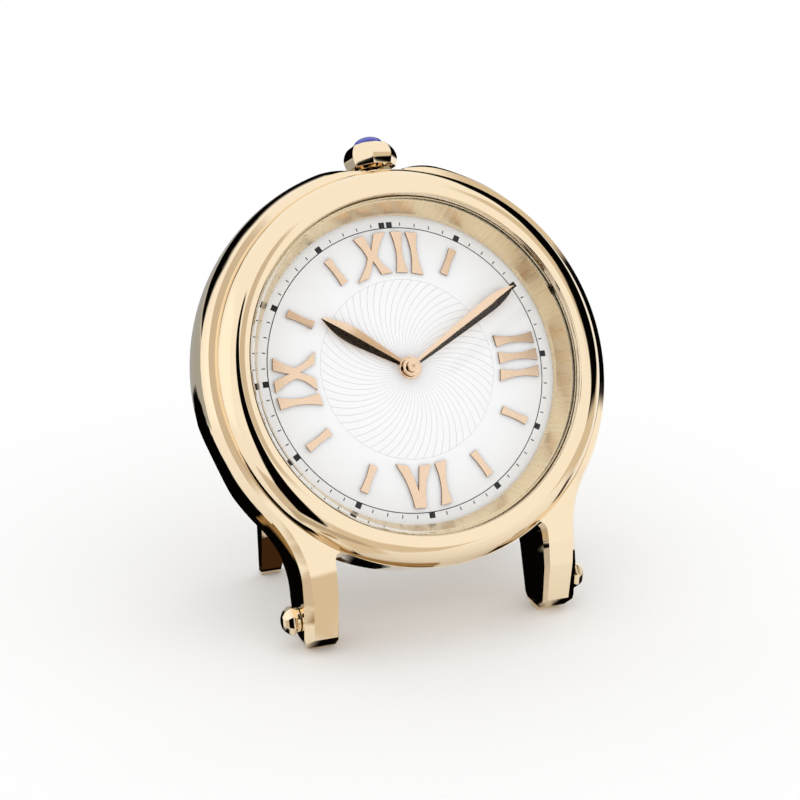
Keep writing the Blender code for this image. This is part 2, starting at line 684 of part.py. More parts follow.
def make_bezel(dial, material):
    seat = CASE_FRONT + SEAT_GAP
    skirt_radius = CAVITY_RADIUS - GAP
    outer = quarter_curve((BEZEL_CREST_RADIUS, seat), (BEZEL_OUTER_ROUND, BEZEL_HIGH - seat), 0, pi / 2,
                          BEZEL_STEPS)
    drop = BEZEL_HIGH - BEZEL_LIP_HIGH
    inner = quarter_curve((BEZEL_CREST_RADIUS, BEZEL_LIP_HIGH), (BEZEL_INNER_ROUND, drop), pi / 2, pi,
                          BEZEL_INNER_STEPS)
    lip_low = BEZEL_LIP_HIGH - BEZEL_LIP
    skirt_low = seat - BEZEL_SKIRT
    profile = outer + inner[1:] + [(BEZEL_INNER_RADIUS, lip_low), (BEZEL_BORE_RADIUS, lip_low),
                                   (BEZEL_BORE_RADIUS, skirt_low), (skirt_radius, skirt_low),
                                   (skirt_radius, seat)]
    place("bezel", turned(profile), dial, material)


def make_crystal(dial, glass, rubber):
    chamfer = CRYSTAL_CHAMFER
    profile = ((0, CRYSTAL_LOW), (CRYSTAL_RADIUS, CRYSTAL_LOW), (CRYSTAL_RADIUS, CRYSTAL_HIGH - chamfer),
               (CRYSTAL_RADIUS - chamfer, CRYSTAL_HIGH), (0, CRYSTAL_HIGH))
    place("crystal", turned(profile), dial, glass)
    high = BEZEL_LIP_HIGH - BEZEL_LIP - SEAT_GAP
    outer = BEZEL_BORE_RADIUS - SEAT_GAP
    place("crystal_gasket", tube(outer - GASKET_WIDTH, outer, high - GASKET_DEPTH, high), dial, rubber)


def make_flange_ring(dial, material):
    low = GAP
    step_high = FLANGE_HIGH - FLANGE_STEP
    rim_radius = FLANGE_HIGH_RADIUS + FLANGE_RIM
    profile = ((FLANGE_LOW_RADIUS, low), (FLANGE_LOW_RADIUS, FLANGE_WALL), (FLANGE_HIGH_RADIUS, FLANGE_HIGH),
               (rim_radius, FLANGE_HIGH), (rim_radius, step_high), (FLANGE_OUTER_RADIUS, step_high),
               (FLANGE_OUTER_RADIUS, low))
    place("flange_ring", turned(profile), dial, material)


def make_dial(dial, material):
    place("dial", tube(DIAL_HOLE_RADIUS, DIAL_RADIUS, DIAL_BACK, 0), dial, material)


# Applied hour markers. Glyph points are (across, outward): across is a share of the numerals' height,
# and outward runs from 0 on their inner circle to 1 on their outer circle.

X_SHARES = ((-0.41, 1.0), (-0.14, 1.0), (-0.055, 0.77), (0.0, 0.61), (0.04, 0.76), (0.12, 1.0), (0.41, 1.0),
            (0.225, 0.70), (0.126, 0.47), (0.225, 0.25), (0.455, 0.0), (0.165, 0.0), (0.07, 0.22),
            (0.0, 0.36), (-0.065, 0.2), (-0.16, 0.0), (-0.455, 0.0), (-0.22, 0.26), (-0.126, 0.47),
            (-0.225, 0.7))
V_SHARES = ((-0.44, 0.0), (-0.15, 0.0), (-0.045, 0.3), (0.02, 0.6), (0.075, 0.3), (0.13, 0.0), (0.43, 0.0),
            (0.28, 0.3), (0.19, 0.6), (0.145, 1.0), (-0.135, 1.0), (-0.175, 0.7), (-0.27, 0.34))
STROKE_STEPS = 4


def stroke_shares(middle):
    # A stroke with a waist, wider at both ends.
    side = []
    for i in range(STROKE_STEPS + 1):
        outward = i / STROKE_STEPS
        half = STROKE_WAIST_SHARE + (STROKE_END_SHARE - STROKE_WAIST_SHARE) * (2 * outward - 1) ** 2
        side.append((half, outward))
    return [(middle + half, outward) for half, outward in side] + \
           [(middle - half, outward) for half, outward in reversed(side)]


def shifted(shares, middle):
    return [(across + middle, outward) for across, outward in shares]


NUMERALS = (
    ("numeral_12_x", 0, 1, shifted(X_SHARES, -0.474)),
    ("numeral_12_i_left", 0, 1, stroke_shares(0.219)),
    ("numeral_12_i_right", 0, 1, stroke_shares(0.596)),
    ("numeral_3_i_upper", 90, 1, stroke_shares(-0.42)),
    ("numeral_3_i_middle", 90, 1, stroke_shares(0.0)),
    ("numeral_3_i_lower", 90, 1, stroke_shares(0.42)),
    ("numeral_6_v", 180, -1, shifted(V_SHARES, -0.28)),
    ("numeral_6_i", 180, -1, stroke_shares(0.39)),
    ("numeral_9_i", 270, 1, stroke_shares(-0.49)),
    ("numeral_9_x", 270, 1, shifted(X_SHARES, 0.18)),
)


def numeral_outline(shares, hour_turn, side):
    height = NUMERAL_OUTER - NUMERAL_INNER
    angle = radians(hour_turn)
    outline = []
    for across_share, outward in shares:
        across = side * across_share * height
        low = sqrt(NUMERAL_INNER ** 2 - across ** 2)
        high = sqrt(NUMERAL_OUTER ** 2 - across ** 2)
        out = low + outward * (high - low)
        outline.append((out * sin(angle) + across * cos(angle), out * cos(angle) - across * sin(angle)))
    return outline


def baton_outline():
    outline = []
    for i in range(STROKE_STEPS + 1):
        share = i / STROKE_STEPS
        half = (BATON_WAIST_WIDTH + (BATON_END_WIDTH - BATON_WAIST_WIDTH) * (2 * share - 1) ** 2) / 2
        outline.append((half, BATON_INNER + (BATON_OUTER - BATON_INNER) * share))
    return outline + [(-x, y) for x, y in reversed(outline)]


def make_markers(dial, material):
    for name, hour_turn, side, shares in NUMERALS:
        outline = numeral_outline(shares, hour_turn, side)
        place(name, prism(outline, MARKER_LOW, MARKER_HIGH), dial, material)
    for hour in BATON_HOURS:
        baton = prism(baton_outline(), MARKER_LOW, MARKER_HIGH)
        place("baton_%02d" % hour, baton, dial, material, turn=-hour * pi / 6)


# Hands

def blade(length, width, shares, low):
    # A leaf with a ridge down its middle, pointing along Y.
    rings = []
    for along, wide in shares:
        half = width / 2 * wide
        y = length * along
        ridge = HAND_RIDGE * wide
        rings.append([(-half, y, low), (half, y, low), (half, y, low + HAND_EDGE),
                      (0, y, low + HAND_EDGE + ridge), (-half, y, low + HAND_EDGE)])
    tip = HAND_EDGE / 2
    rings.append([(-tip, length, low), (tip, length, low), (tip, length, low + HAND_EDGE),
                  (0, length, low + HAND_EDGE + tip), (-tip, length, low + HAND_EDGE)])
    return lofted(rings)


def make_hand(name, parent, material, length, width, shares, hub, bore, low, angle):
    high = low + HAND_EDGE + HAND_RIDGE
    hand = place(name, rod(hub, low, high, 2 * SMALL_SEGMENTS), parent, material, turn=-angle)
    leaf = place(name + "_blade", blade(length, width, shares, low), parent, turn=-angle)
    combine(hand, leaf, "UNION")
    hole = rod(bore, low - OVERRUN, high + OVERRUN)
    combine(hand, place(name + "_bore_cutter", hole, parent), "DIFFERENCE")


def make_hands(dial, gold):
    make_hand("hour_hand", dial, gold, HOUR_HAND_LENGTH, HOUR_HAND_WIDTH, HOUR_HAND_SHARES, HOUR_HUB_RADIUS,
              HOUR_PIPE_RADIUS + SEAT_GAP, HOUR_HAND_LOW, HOUR_ANGLE)
    make_hand("minute_hand", dial, gold, MINUTE_HAND_LENGTH, MINUTE_HAND_WIDTH, MINUTE_HAND_SHARES,
              MINUTE_HUB_RADIUS, ARBOR_RADIUS + SEAT_GAP, MINUTE_HAND_LOW, MINUTE_ANGLE)
    high = CAP_LOW + CAP_THICKNESS
    bead = PIVOT_RADIUS / 2
    profile = ((0, CAP_LOW), (CAP_RADIUS, CAP_LOW), (CAP_RADIUS, high - bead), (CAP_RADIUS - bead, high),
               (bead, high), (bead, high + bead), (0, high + bead))
    place("hand_cap", turned(profile, SMALL_SEGMENTS), dial, gold)


# Wheels

def add_to(target, name, bm, parent, location=(0, 0, 0)):
    return combine(target, place(name, bm, parent, location=location), "UNION")


def make_centre_wheel(dial, brass):
    # Centre wheel, arbor and cannon pinion turn as one and carry the minute hand.
    phase = INTERMEDIATE_DIRECTION
    outline = gear_outline(CENTRE_TEETH, CENTRE_MODULE, phase)
    wheel = place("centre_wheel", prism(outline, CENTRE_WHEEL_LOW, CENTRE_WHEEL_HIGH), dial, brass)
    arbor_low = CENTRE_WHEEL_LOW - TRAIN_GAP
    add_to(wheel, "centre_arbor", rod(ARBOR_RADIUS, arbor_low, MINUTE_HAND_HIGH), dial)
    cannon = gear_outline(CANNON_TEETH, MOTION_MODULE, MOTION_DIRECTION)
    add_to(wheel, "cannon_pinion", prism(cannon, MOTION_WHEEL_LOW, MOTION_WHEEL_HIGH), dial)


def make_motion_work(dial, brass):
    motion_place = direction_point(MOTION_DISTANCE, MOTION_DIRECTION)
    motion_phase = meshed_phase(MOTION_DIRECTION, CANNON_TEETH, MOTION_TEETH, MOTION_DIRECTION)
    outline = gear_outline(MOTION_TEETH, MOTION_MODULE, motion_phase)
    wheel = place("motion_wheel", prism(outline, MOTION_WHEEL_LOW, MOTION_WHEEL_HIGH), dial, brass,
                  location=motion_place)
    pinion_phase = MOTION_DIRECTION + pi
    pinion = gear_outline(MOTION_PINION_TEETH, HOUR_MODULE, pinion_phase)
    add_to(wheel, "motion_pinion", prism(pinion, MOTION_WHEEL_HIGH - SEAT_GAP, HOUR_WHEEL_HIGH), dial,
           motion_place)
    bore = rod(POST_RADIUS + GAP, MOTION_WHEEL_LOW - OVERRUN, HOUR_WHEEL_HIGH + OVERRUN)
    combine(wheel, place("motion_bore_cutter", bore, dial, location=motion_place), "DIFFERENCE")

    hour_phase = meshed_phase(pinion_phase, MOTION_PINION_TEETH, HOUR_TEETH, MOTION_DIRECTION + pi)
    outline = gear_outline(HOUR_TEETH, HOUR_MODULE, hour_phase)
    hour = place("hour_wheel", prism(outline, HOUR_WHEEL_LOW, HOUR_WHEEL_HIGH), dial, brass)
    add_to(hour, "hour_pipe", rod(HOUR_PIPE_RADIUS, HOUR_WHEEL_LOW, HOUR_HAND_HIGH), dial)
    bore = rod(HOUR_PIPE_BORE, HOUR_WHEEL_LOW - OVERRUN, HOUR_HAND_HIGH + OVERRUN)
    combine(hour, place("hour_bore_cutter", bore, dial), "DIFFERENCE")

    # The setting wheel lies on the stem's line, between the motion wheel and the stem.
    setting_place = setting_wheel_place()
    offset = setting_place - motion_place
    direction = Vector((1, 0)).angle_signed(offset.to_2d()) * -1
    setting_phase = meshed_phase(motion_phase, MOTION_TEETH, SETTING_TEETH, direction)
    outline = gear_outline(SETTING_TEETH, MOTION_MODULE, setting_phase)
    setting = place("setting_wheel", prism(outline, MOTION_WHEEL_LOW, MOTION_WHEEL_HIGH), dial, brass,
                    location=setting_place)
    bore = rod(POST_RADIUS + GAP, MOTION_WHEEL_LOW - OVERRUN, MOTION_WHEEL_HIGH + OVERRUN)
    combine(setting, place("setting_bore_cutter", bore, dial, location=setting_place), "DIFFERENCE")


def setting_wheel_place():
    motion_place = direction_point(MOTION_DISTANCE, MOTION_DIRECTION)
    return Vector((0, motion_place.y + sqrt(SETTING_DISTANCE ** 2 - motion_place.x ** 2), 0))


def intermediate_place():
    return direction_point(CENTRE_DISTANCE, INTERMEDIATE_DIRECTION)


def rotor_place():
    return intermediate_place() + direction_point(ROTOR_DISTANCE, ROTOR_DIRECTION)


def make_train(dial, brass, steel):
    pinion_phase = meshed_phase(INTERMEDIATE_DIRECTION, CENTRE_TEETH, PINION_TEETH, INTERMEDIATE_DIRECTION)
    pinion = gear_outline(PINION_TEETH, CENTRE_MODULE, pinion_phase)
    wheel_outline = gear_outline(INTERMEDIATE_TEETH, ROTOR_MODULE, ROTOR_DIRECTION)
    spot = intermediate_place()
    wheel_shape = prism(wheel_outline, INTERMEDIATE_LOW, INTERMEDIATE_HIGH)
    wheel = place("intermediate_wheel", wheel_shape, dial, brass, location=spot)
    pinion_shape = prism(pinion, INTERMEDIATE_HIGH - SEAT_GAP, CENTRE_WHEEL_HIGH)
    add_to(wheel, "intermediate_pinion", pinion_shape, dial, spot)
    arbor = rod(PIVOT_RADIUS, MAGNET_LOW, CENTRE_WHEEL_HIGH + SEAT_GAP, SCREW_SEGMENTS)
    add_to(wheel, "intermediate_arbor", arbor, dial, spot)

    rotor_phase = meshed_phase(ROTOR_DIRECTION, INTERMEDIATE_TEETH, PINION_TEETH, ROTOR_DIRECTION)
    rotor_pinion = gear_outline(PINION_TEETH, ROTOR_MODULE, rotor_phase)
    spot = rotor_place()
    rotor = place("step_rotor", rod(MAGNET_RADIUS, MAGNET_LOW, MAGNET_HIGH), dial, steel, location=spot)
    pinion_shape = prism(rotor_pinion, MAGNET_HIGH - SEAT_GAP, INTERMEDIATE_HIGH + SEAT_GAP)
    add_to(rotor, "rotor_pinion", pinion_shape, dial, spot)
    arbor = rod(PIVOT_RADIUS, MAGNET_LOW - SEAT_GAP, CENTRE_WHEEL_HIGH, SCREW_SEGMENTS)
    add_to(rotor, "rotor_arbor", arbor, dial, spot)


# Movement plates and electrics

def make_plates(dial, crown_axis, brass):
    plate = place("main_plate", rod(MOVEMENT_RADIUS, PLATE_BACK, PLATE_FRONT, ROUND_SEGMENTS), dial, brass)
    motion_place = direction_point(MOTION_DISTANCE, MOTION_DIRECTION)
    root = PLATE_FRONT - PLATE_THICKNESS / 2
    add_to(plate, "motion_post", rod(POST_RADIUS, root, HOUR_WHEEL_HIGH), dial, motion_place)
    add_to(plate, "setting_post", rod(POST_RADIUS, root, MOTION_WHEEL_HIGH), dial, setting_wheel_place())
    lug_high = HOUR_WHEEL_HIGH
    lug_outer = sqrt(MOVEMENT_RADIUS ** 2 - LUG_WIDTH ** 2) - SEAT_GAP
    lug = block((-LUG_WIDTH / 2, lug_outer - LUG_LENGTH, root), (LUG_WIDTH / 2, lug_outer, lug_high))
    add_to(plate, "stem_lug", lug, dial)
    hole = rod(STEM_RADIUS + GAP, lug_outer - LUG_LENGTH - OVERRUN, lug_outer + OVERRUN, SCREW_SEGMENTS)
    combine(plate, place("stem_lug_cutter", hole, crown_axis), "DIFFERENCE")
    hole = rod(ARBOR_RADIUS + GAP, PLATE_BACK - OVERRUN, PLATE_FRONT + OVERRUN)
    combine(plate, place("plate_arbor_cutter", hole, dial), "DIFFERENCE")
    return lug_outer - LUG_LENGTH


def arc_points(centre, radius, start, end, steps):
    return [(centre[0] + radius * cos(start + (end - start) * i / steps),
             centre[1] + radius * sin(start + (end - start) * i / steps)) for i in range(steps + 1)]


def bridge_outline(corner, end, half):
    # An angled strap from the dial's centre along X to the corner and from there down to the end.
    steps = SMALL_SEGMENTS // 2
    outline = arc_points((0, 0), half, pi / 2, 3 * pi / 2, steps)
    outline.append((corner.x - half, -half))
    outline += arc_points(end, half, pi, 2 * pi, steps)
    return outline + arc_points(corner, half, 0, pi / 2, steps // 2)


def make_bridge(dial, steel):
    corner = intermediate_place().to_2d()
    tab_end = rotor_place().to_2d() - Vector((0, STATOR_WIDTH))
    outline = bridge_outline(corner, tab_end, 2 * PILLAR_RADIUS)
    bridge = place("train_bridge", prism(outline, BRIDGE_LOW, BRIDGE_HIGH), dial, steel)
    pillar = rod(PILLAR_RADIUS, BRIDGE_HIGH - SEAT_GAP, PLATE_BACK - SEAT_GAP)
    add_to(bridge, "bridge_pillar", pillar, dial, (tab_end.x, tab_end.y, 0))
    hub = rod(PILLAR_RADIUS, BRIDGE_HIGH - SEAT_GAP, CENTRE_WHEEL_LOW - TRAIN_GAP - SEAT_GAP)
    add_to(bridge, "bridge_hub", hub, dial)
    return tab_end


def make_stator(dial, steel, tab_end):
    place_xy = rotor_place()
    high = MAGNET_HIGH - SEAT_GAP
    low = high - STATOR_THICKNESS
    half = STATOR_WIDTH / 2
    top = place_xy.y + half
    bottom = tab_end.y - half
    lamination = block((place_xy.x - half, bottom, low), (place_xy.x + half, top, high))
    stator = place("stator", lamination, dial, steel)
    hole = rod(MAGNET_RADIUS + STATOR_GAP, low - OVERRUN, high + OVERRUN)
    combine(stator, place("stator_bore_cutter", hole, dial, location=place_xy), "DIFFERENCE")
    hole = rod(PILLAR_RADIUS + GAP, low - OVERRUN, high + OVERRUN)
    pillar_place = (tab_end.x, tab_end.y, 0)
    combine(stator, place("stator_pillar_cutter", hole, dial, location=pillar_place), "DIFFERENCE")
    return place_xy.x - half, (high + low) / 2, bottom + half


def make_electrics(dial, materials, stator_left, coil_low, coil_y):
    end = stator_left - GAP
    coil_bm = rod(COIL_RADIUS, 0, COIL_LENGTH)
    along_axis(coil_bm, Matrix.Rotation(-pi / 2, 4, "Y"))
    place("coil", coil_bm, dial, materials["coil_copper"], location=(end, coil_y, coil_low))

    centre_reach = CENTRE_MODULE * CENTRE_TEETH / 2 + CENTRE_MODULE
    battery_x = -(centre_reach + GAP + BATTERY_RADIUS)
    battery_high = PLATE_BACK - GAP
    battery_low = battery_high - BATTERY_HEIGHT
    battery = rod(BATTERY_RADIUS, battery_low, battery_high, 2 * SMALL_SEGMENTS)
    place("battery", battery, dial, materials["battery_steel"], location=(battery_x, 0, 0))

    # A spring strap across the cell, with a foot at each end on the plate.
    reach = BATTERY_RADIUS + GAP
    strap_high = battery_low - SEAT_GAP
    strap_low = strap_high - CLIP_THICKNESS
    half = CLIP_WIDTH / 2
    span = reach + CLIP_THICKNESS
    strap = block((battery_x - half, -span, strap_low), (battery_x + half, span, strap_high))
    clip = place("battery_clip", strap, dial, materials["steel"])
    for name, inner in (("clip_leg_upper", reach), ("clip_leg_lower", -span)):
        leg_end = (battery_x + half, inner + CLIP_THICKNESS, battery_high)
        leg = block((battery_x - half, inner, strap_low), leg_end)
        add_to(clip, name, leg, dial)

    board_high = PLATE_BACK - GAP
    board_low = board_high - BOARD_THICKNESS
    board_y = centre_reach + GAP
    board = block((-BOARD_WIDTH / 2, board_y, board_low),
                  (BOARD_WIDTH / 2, board_y + BOARD_HEIGHT, board_high))
    place("circuit_board", board, dial, materials["board_green"])


def make_holder(dial, crown_axis, plastic):
    high = DIAL_BACK - GAP
    low = high - HOLDER_DEPTH
    ring = tube(MOVEMENT_RADIUS + GAP, CAVITY_RADIUS - GAP, low, high)
    holder = place("movement_holder", ring, dial, plastic)
    hole = rod(STEM_RADIUS + GAP, MOVEMENT_RADIUS - OVERRUN, CAVITY_RADIUS + OVERRUN, SCREW_SEGMENTS)
    combine(holder, place("holder_stem_cutter", hole, crown_axis), "DIFFERENCE")


# Crown, stem and setting pinion. The crown frame's Z runs along the stem, away from the dial centre.

def make_crown(axis, materials, pinion_outer):
    gold = materials["polished_rose_gold"]
    top = CROWN_BASE + CROWN_HEIGHT
    collar = CROWN_RADIUS * CROWN_COLLAR_SHARE
    rings = [faceted_ring(collar, CROWN_BASE, 8, CROWN_TURN, True)]
    for height_share, radius_share in CROWN_SHARES:
        height = CROWN_BASE + CROWN_HEIGHT * height_share
        rings.append(faceted_ring(CROWN_RADIUS * radius_share, height, 8, CROWN_TURN, False))
    rings.append(faceted_ring(CROWN_RADIUS * CROWN_TOP_SHARE, top, 8, CROWN_TURN, True))
    crown = place("crown", lofted(rings), axis, gold)
    seat_floor = top - CROWN_SEAT
    recess = rod(CABOCHON_RADIUS + SEAT_GAP, seat_floor, top + OVERRUN)
    combine(crown, place("cabochon_seat_cutter", recess, axis), "DIFFERENCE")
    stem_end = CROWN_BASE + STEM_GRIP
    socket = rod(STEM_RADIUS + SEAT_GAP, CROWN_BASE - OVERRUN, stem_end + GAP, SCREW_SEGMENTS)
    combine(crown, place("stem_socket_cutter", socket, axis), "DIFFERENCE")

    stone_low = seat_floor + SEAT_GAP
    dome = [(0, stone_low), (CABOCHON_RADIUS, stone_low)]
    dome += quarter_curve((0, top), (CABOCHON_RADIUS, CABOCHON_DOME), 0, pi / 2, CABOCHON_RINGS)[:-1]
    dome.append((0, top + CABOCHON_DOME))
    place("crown_cabochon", turned(dome, SMALL_SEGMENTS), axis, materials["blue_stone"])

    tube_high = CROWN_BASE - GAP
    sleeve = tube(TUBE_RADIUS - TUBE_WALL, TUBE_RADIUS, CAVITY_RADIUS, tube_high, SMALL_SEGMENTS)
    place("crown_tube", sleeve, axis, gold)

    pinion_high = pinion_outer - GAP
    pinion_low = pinion_high - SETTING_PINION_LENGTH
    half = STEM_SQUARE / 2
    stem = rod(STEM_RADIUS, pinion_high - SEAT_GAP, stem_end, SCREW_SEGMENTS)
    stem_piece = place("setting_stem", stem, axis, materials["steel"])
    square = block((-half, -half, pinion_low), (half, half, pinion_high))
    add_to(stem_piece, "stem_square", square, axis)

    outline = []
    for i in range(2 * SETTING_PINION_TEETH):
        radius = SETTING_PINION_RADIUS - (SETTING_TOOTH_DEPTH if i % 2 else 0)
        for angle in (pi * (i - 0.3) / SETTING_PINION_TEETH, pi * (i + 0.3) / SETTING_PINION_TEETH):
            outline.append((radius * cos(angle), radius * sin(angle)))
    pinion = place("setting_pinion", prism(outline, pinion_low, pinion_high), axis, materials["steel"])
    bore_half = half + SEAT_GAP
    bore = block((-bore_half, -bore_half, pinion_low - OVERRUN),
                 (bore_half, bore_half, pinion_high + OVERRUN))
    combine(pinion, place("pinion_bore_cutter", bore, axis), "DIFFERENCE")


# Leg caps. Each cap's frame has its Z along the screw, out of the leg.

def make_leg_caps(cap_axes, gold):
    base = LEG_OUTER + SEAT_GAP
    collar_high = base + LEG_CAP_COLLAR
    for side, axis in cap_axes.items():
        rings = [faceted_ring(LEG_CAP_COLLAR_RADIUS, base, 8, LEG_CAP_TURN, True),
                 faceted_ring(LEG_CAP_COLLAR_RADIUS, collar_high, 8, LEG_CAP_TURN, True)]
        for length_share, radius_share in LEG_CAP_SHARES:
            height = collar_high + LEG_CAP_LENGTH * length_share
            rings.append(faceted_ring(LEG_CAP_RADIUS * radius_share, height, 8, LEG_CAP_TURN, False))
        cap = place("leg_cap_" + side, lofted(rings), axis, gold)
        shank = rod(LEG_CAP_SHANK_RADIUS, LEG_OUTER - LEG_CAP_SHANK_LENGTH, collar_high, SCREW_SEGMENTS)
        add_to(cap, "leg_cap_shank_" + side, shank, axis)


# Back cover, gasket and screws

def screw_shape(head_low, shank_high):
    head_high = head_low + SCREW_HEAD_HEIGHT
    profile = ((0, head_low), (SCREW_HEAD, head_low), (SCREW_HEAD, head_high), (SCREW_SHANK, head_high),
               (SCREW_SHANK, shank_high), (0, shank_high))
    return turned(profile, SCREW_SEGMENTS)


def make_screw(name, dial, material, head_high, shank_high, location):
    head_low = head_high - SCREW_HEAD_HEIGHT
    screw = place(name, screw_shape(head_low, shank_high), dial, material, location=location)
    half = SCREW_SLOT_WIDTH / 2
    reach = SCREW_HEAD + OVERRUN
    slot = block((-reach, -half, head_low - OVERRUN), (reach, half, head_low + SCREW_SLOT_DEPTH))
    combine(screw, place(name + "_slot_cutter", slot, dial, location=location), "DIFFERENCE")


def bracket_screw_places():
    middle = HINGE_UP + EAR_RADIUS + (BRACKET_RISE - EAR_RADIUS) / 2
    half = BRACKET_SCREW_SPACING / 2
    return {"left": (-half, middle, 0), "right": (half, middle, 0)}


def make_back(dial, materials):
    gold = materials["polished_rose_gold"]
    boss_outer = BACK_OPENING_RADIUS - GAP - COVER_GASKET_WIDTH - GAP
    boss_inner = boss_outer - COVER_BOSS
    boss_high = COVER_SEAT + COVER_BOSS_DEPTH
    rim = COVER_RECESS_RADIUS - GAP
    profile = ((0, COVER_OUTER), (rim - COVER_CHAMFER, COVER_OUTER), (rim, COVER_OUTER + COVER_CHAMFER),
               (rim, COVER_SEAT), (boss_outer, COVER_SEAT), (boss_outer, boss_high), (boss_inner, boss_high),
               (boss_inner, COVER_INNER), (0, COVER_INNER))
    cover = place("back_cover", turned(profile), dial, gold)
    gasket = tube(boss_outer + GAP, BACK_OPENING_RADIUS - GAP, LEDGE_BACK, LEDGE_FRONT)
    place("back_gasket", gasket, dial, materials["black_rubber"])
    for number, angle in enumerate(SCREW_ANGLES, 1):
        hole = rod(SCREW_SHANK + GAP, COVER_OUTER - OVERRUN, COVER_SEAT + OVERRUN, SCREW_SEGMENTS)
        cutter = place("cover_hole_cutter_%d" % number, hole, dial, location=screw_point(angle))
        combine(cover, cutter, "DIFFERENCE")
        make_screw("cover_screw_%d" % number, dial, materials["steel"], COVER_OUTER - SEAT_GAP, LEDGE_FRONT,
                   screw_point(angle))
    for side, spot in bracket_screw_places().items():
        hole_end = COVER_OUTER + COVER_THICKNESS / 2
        hole = rod(SCREW_SHANK + GAP, COVER_OUTER - OVERRUN, hole_end, SCREW_SEGMENTS)
        combine(cover, place("bracket_hole_cutter_" + side, hole, dial, location=spot), "DIFFERENCE")


# Hinge and stand

def make_bracket(dial, materials):
    half = BARREL_LENGTH / 2 + GAP + EAR_THICKNESS
    base = block((-half, HINGE_UP - EAR_RADIUS, BRACKET_LOW), (half, HINGE_UP + BRACKET_RISE, BRACKET_HIGH))
    bracket = place("hinge_bracket", base, dial, materials["polished_rose_gold"])
    for side, sign in (("left", -1), ("right", 1)):
        inner = BARREL_LENGTH / 2 + GAP
        low_x, high_x = sorted((sign * inner, sign * half))
        eye = rod(EAR_RADIUS, low_x, high_x)
        along_axis(eye, Matrix.Rotation(pi / 2, 4, "Y"))
        add_to(bracket, "ear_eye_" + side, eye, dial, (0, HINGE_UP, -HINGE_LOW))
        web = block((low_x, HINGE_UP - EAR_RADIUS, -HINGE_LOW),
                    (high_x, HINGE_UP + EAR_RADIUS, BRACKET_HIGH))
        add_to(bracket, "ear_web_" + side, web, dial)
    hole = rod(PIN_RADIUS + GAP, -half - OVERRUN, half + OVERRUN)
    along_axis(hole, Matrix.Rotation(pi / 2, 4, "Y"))
    cutter = place("ear_hole_cutter", hole, dial, location=(0, HINGE_UP, -HINGE_LOW))
    combine(bracket, cutter, "DIFFERENCE")
    for side, spot in bracket_screw_places().items():
        screw_hole = rod(SCREW_SHANK + GAP, BRACKET_LOW - OVERRUN, BRACKET_HIGH + OVERRUN, SCREW_SEGMENTS)
        combine(bracket, place("base_hole_cutter_" + side, screw_hole, dial, location=spot), "DIFFERENCE")
        make_screw("bracket_screw_" + side, dial, materials["steel"], BRACKET_LOW - SEAT_GAP,
                   COVER_OUTER + COVER_THICKNESS / 2 - GAP, spot)
    pin = rod(PIN_RADIUS, -half, half)
    along_axis(pin, Matrix.Rotation(pi / 2, 4, "Y"))
    place("hinge_pin", pin, dial, materials["steel"], location=(0, HINGE_UP, -HINGE_LOW))


def stand_outline(length, spare):
    # Seen from the front, as (x, z) from the hinge axis down to below the table, right half first.
    neck = BARREL_LENGTH / 2
    outer = STAND_WIDTH / 2
    outline = [(neck, 0)]
    for i in range(STAND_SHOULDER_STEPS + 1):
        angle = pi / 2 * i / STAND_SHOULDER_STEPS
        outline.append((neck + (outer - neck) * sin(angle),
                        -STAND_NECK_DROP - (STAND_SHOULDER_DROP - STAND_NECK_DROP) * (1 - cos(angle))))
    outline.append((outer, -spare))
    # The arch is part of a circle that touches both flaring inner edges.
    slope = tan(STAND_LEG_FLARE)
    foot_inner = outer - STAND_FOOT_WIDTH
    outline.append((foot_inner + (spare - length) * slope, -spare))
    edge_at_top = foot_inner - (length - STAND_ARCH_DROP) * slope
    arch_radius = edge_at_top * cos(STAND_LEG_FLARE) / (1 - sin(STAND_LEG_FLARE))
    centre_z = -STAND_ARCH_DROP - arch_radius
    for i in range(STAND_ARCH_SEGMENTS + 1):
        angle = STAND_LEG_FLARE + (pi / 2 - STAND_LEG_FLARE) * i / STAND_ARCH_SEGMENTS
        outline.append((arch_radius * cos(angle), centre_z + arch_radius * sin(angle)))
    mirrored = [(-x, z) for x, z in reversed(outline[:-1])]
    return outline + mirrored


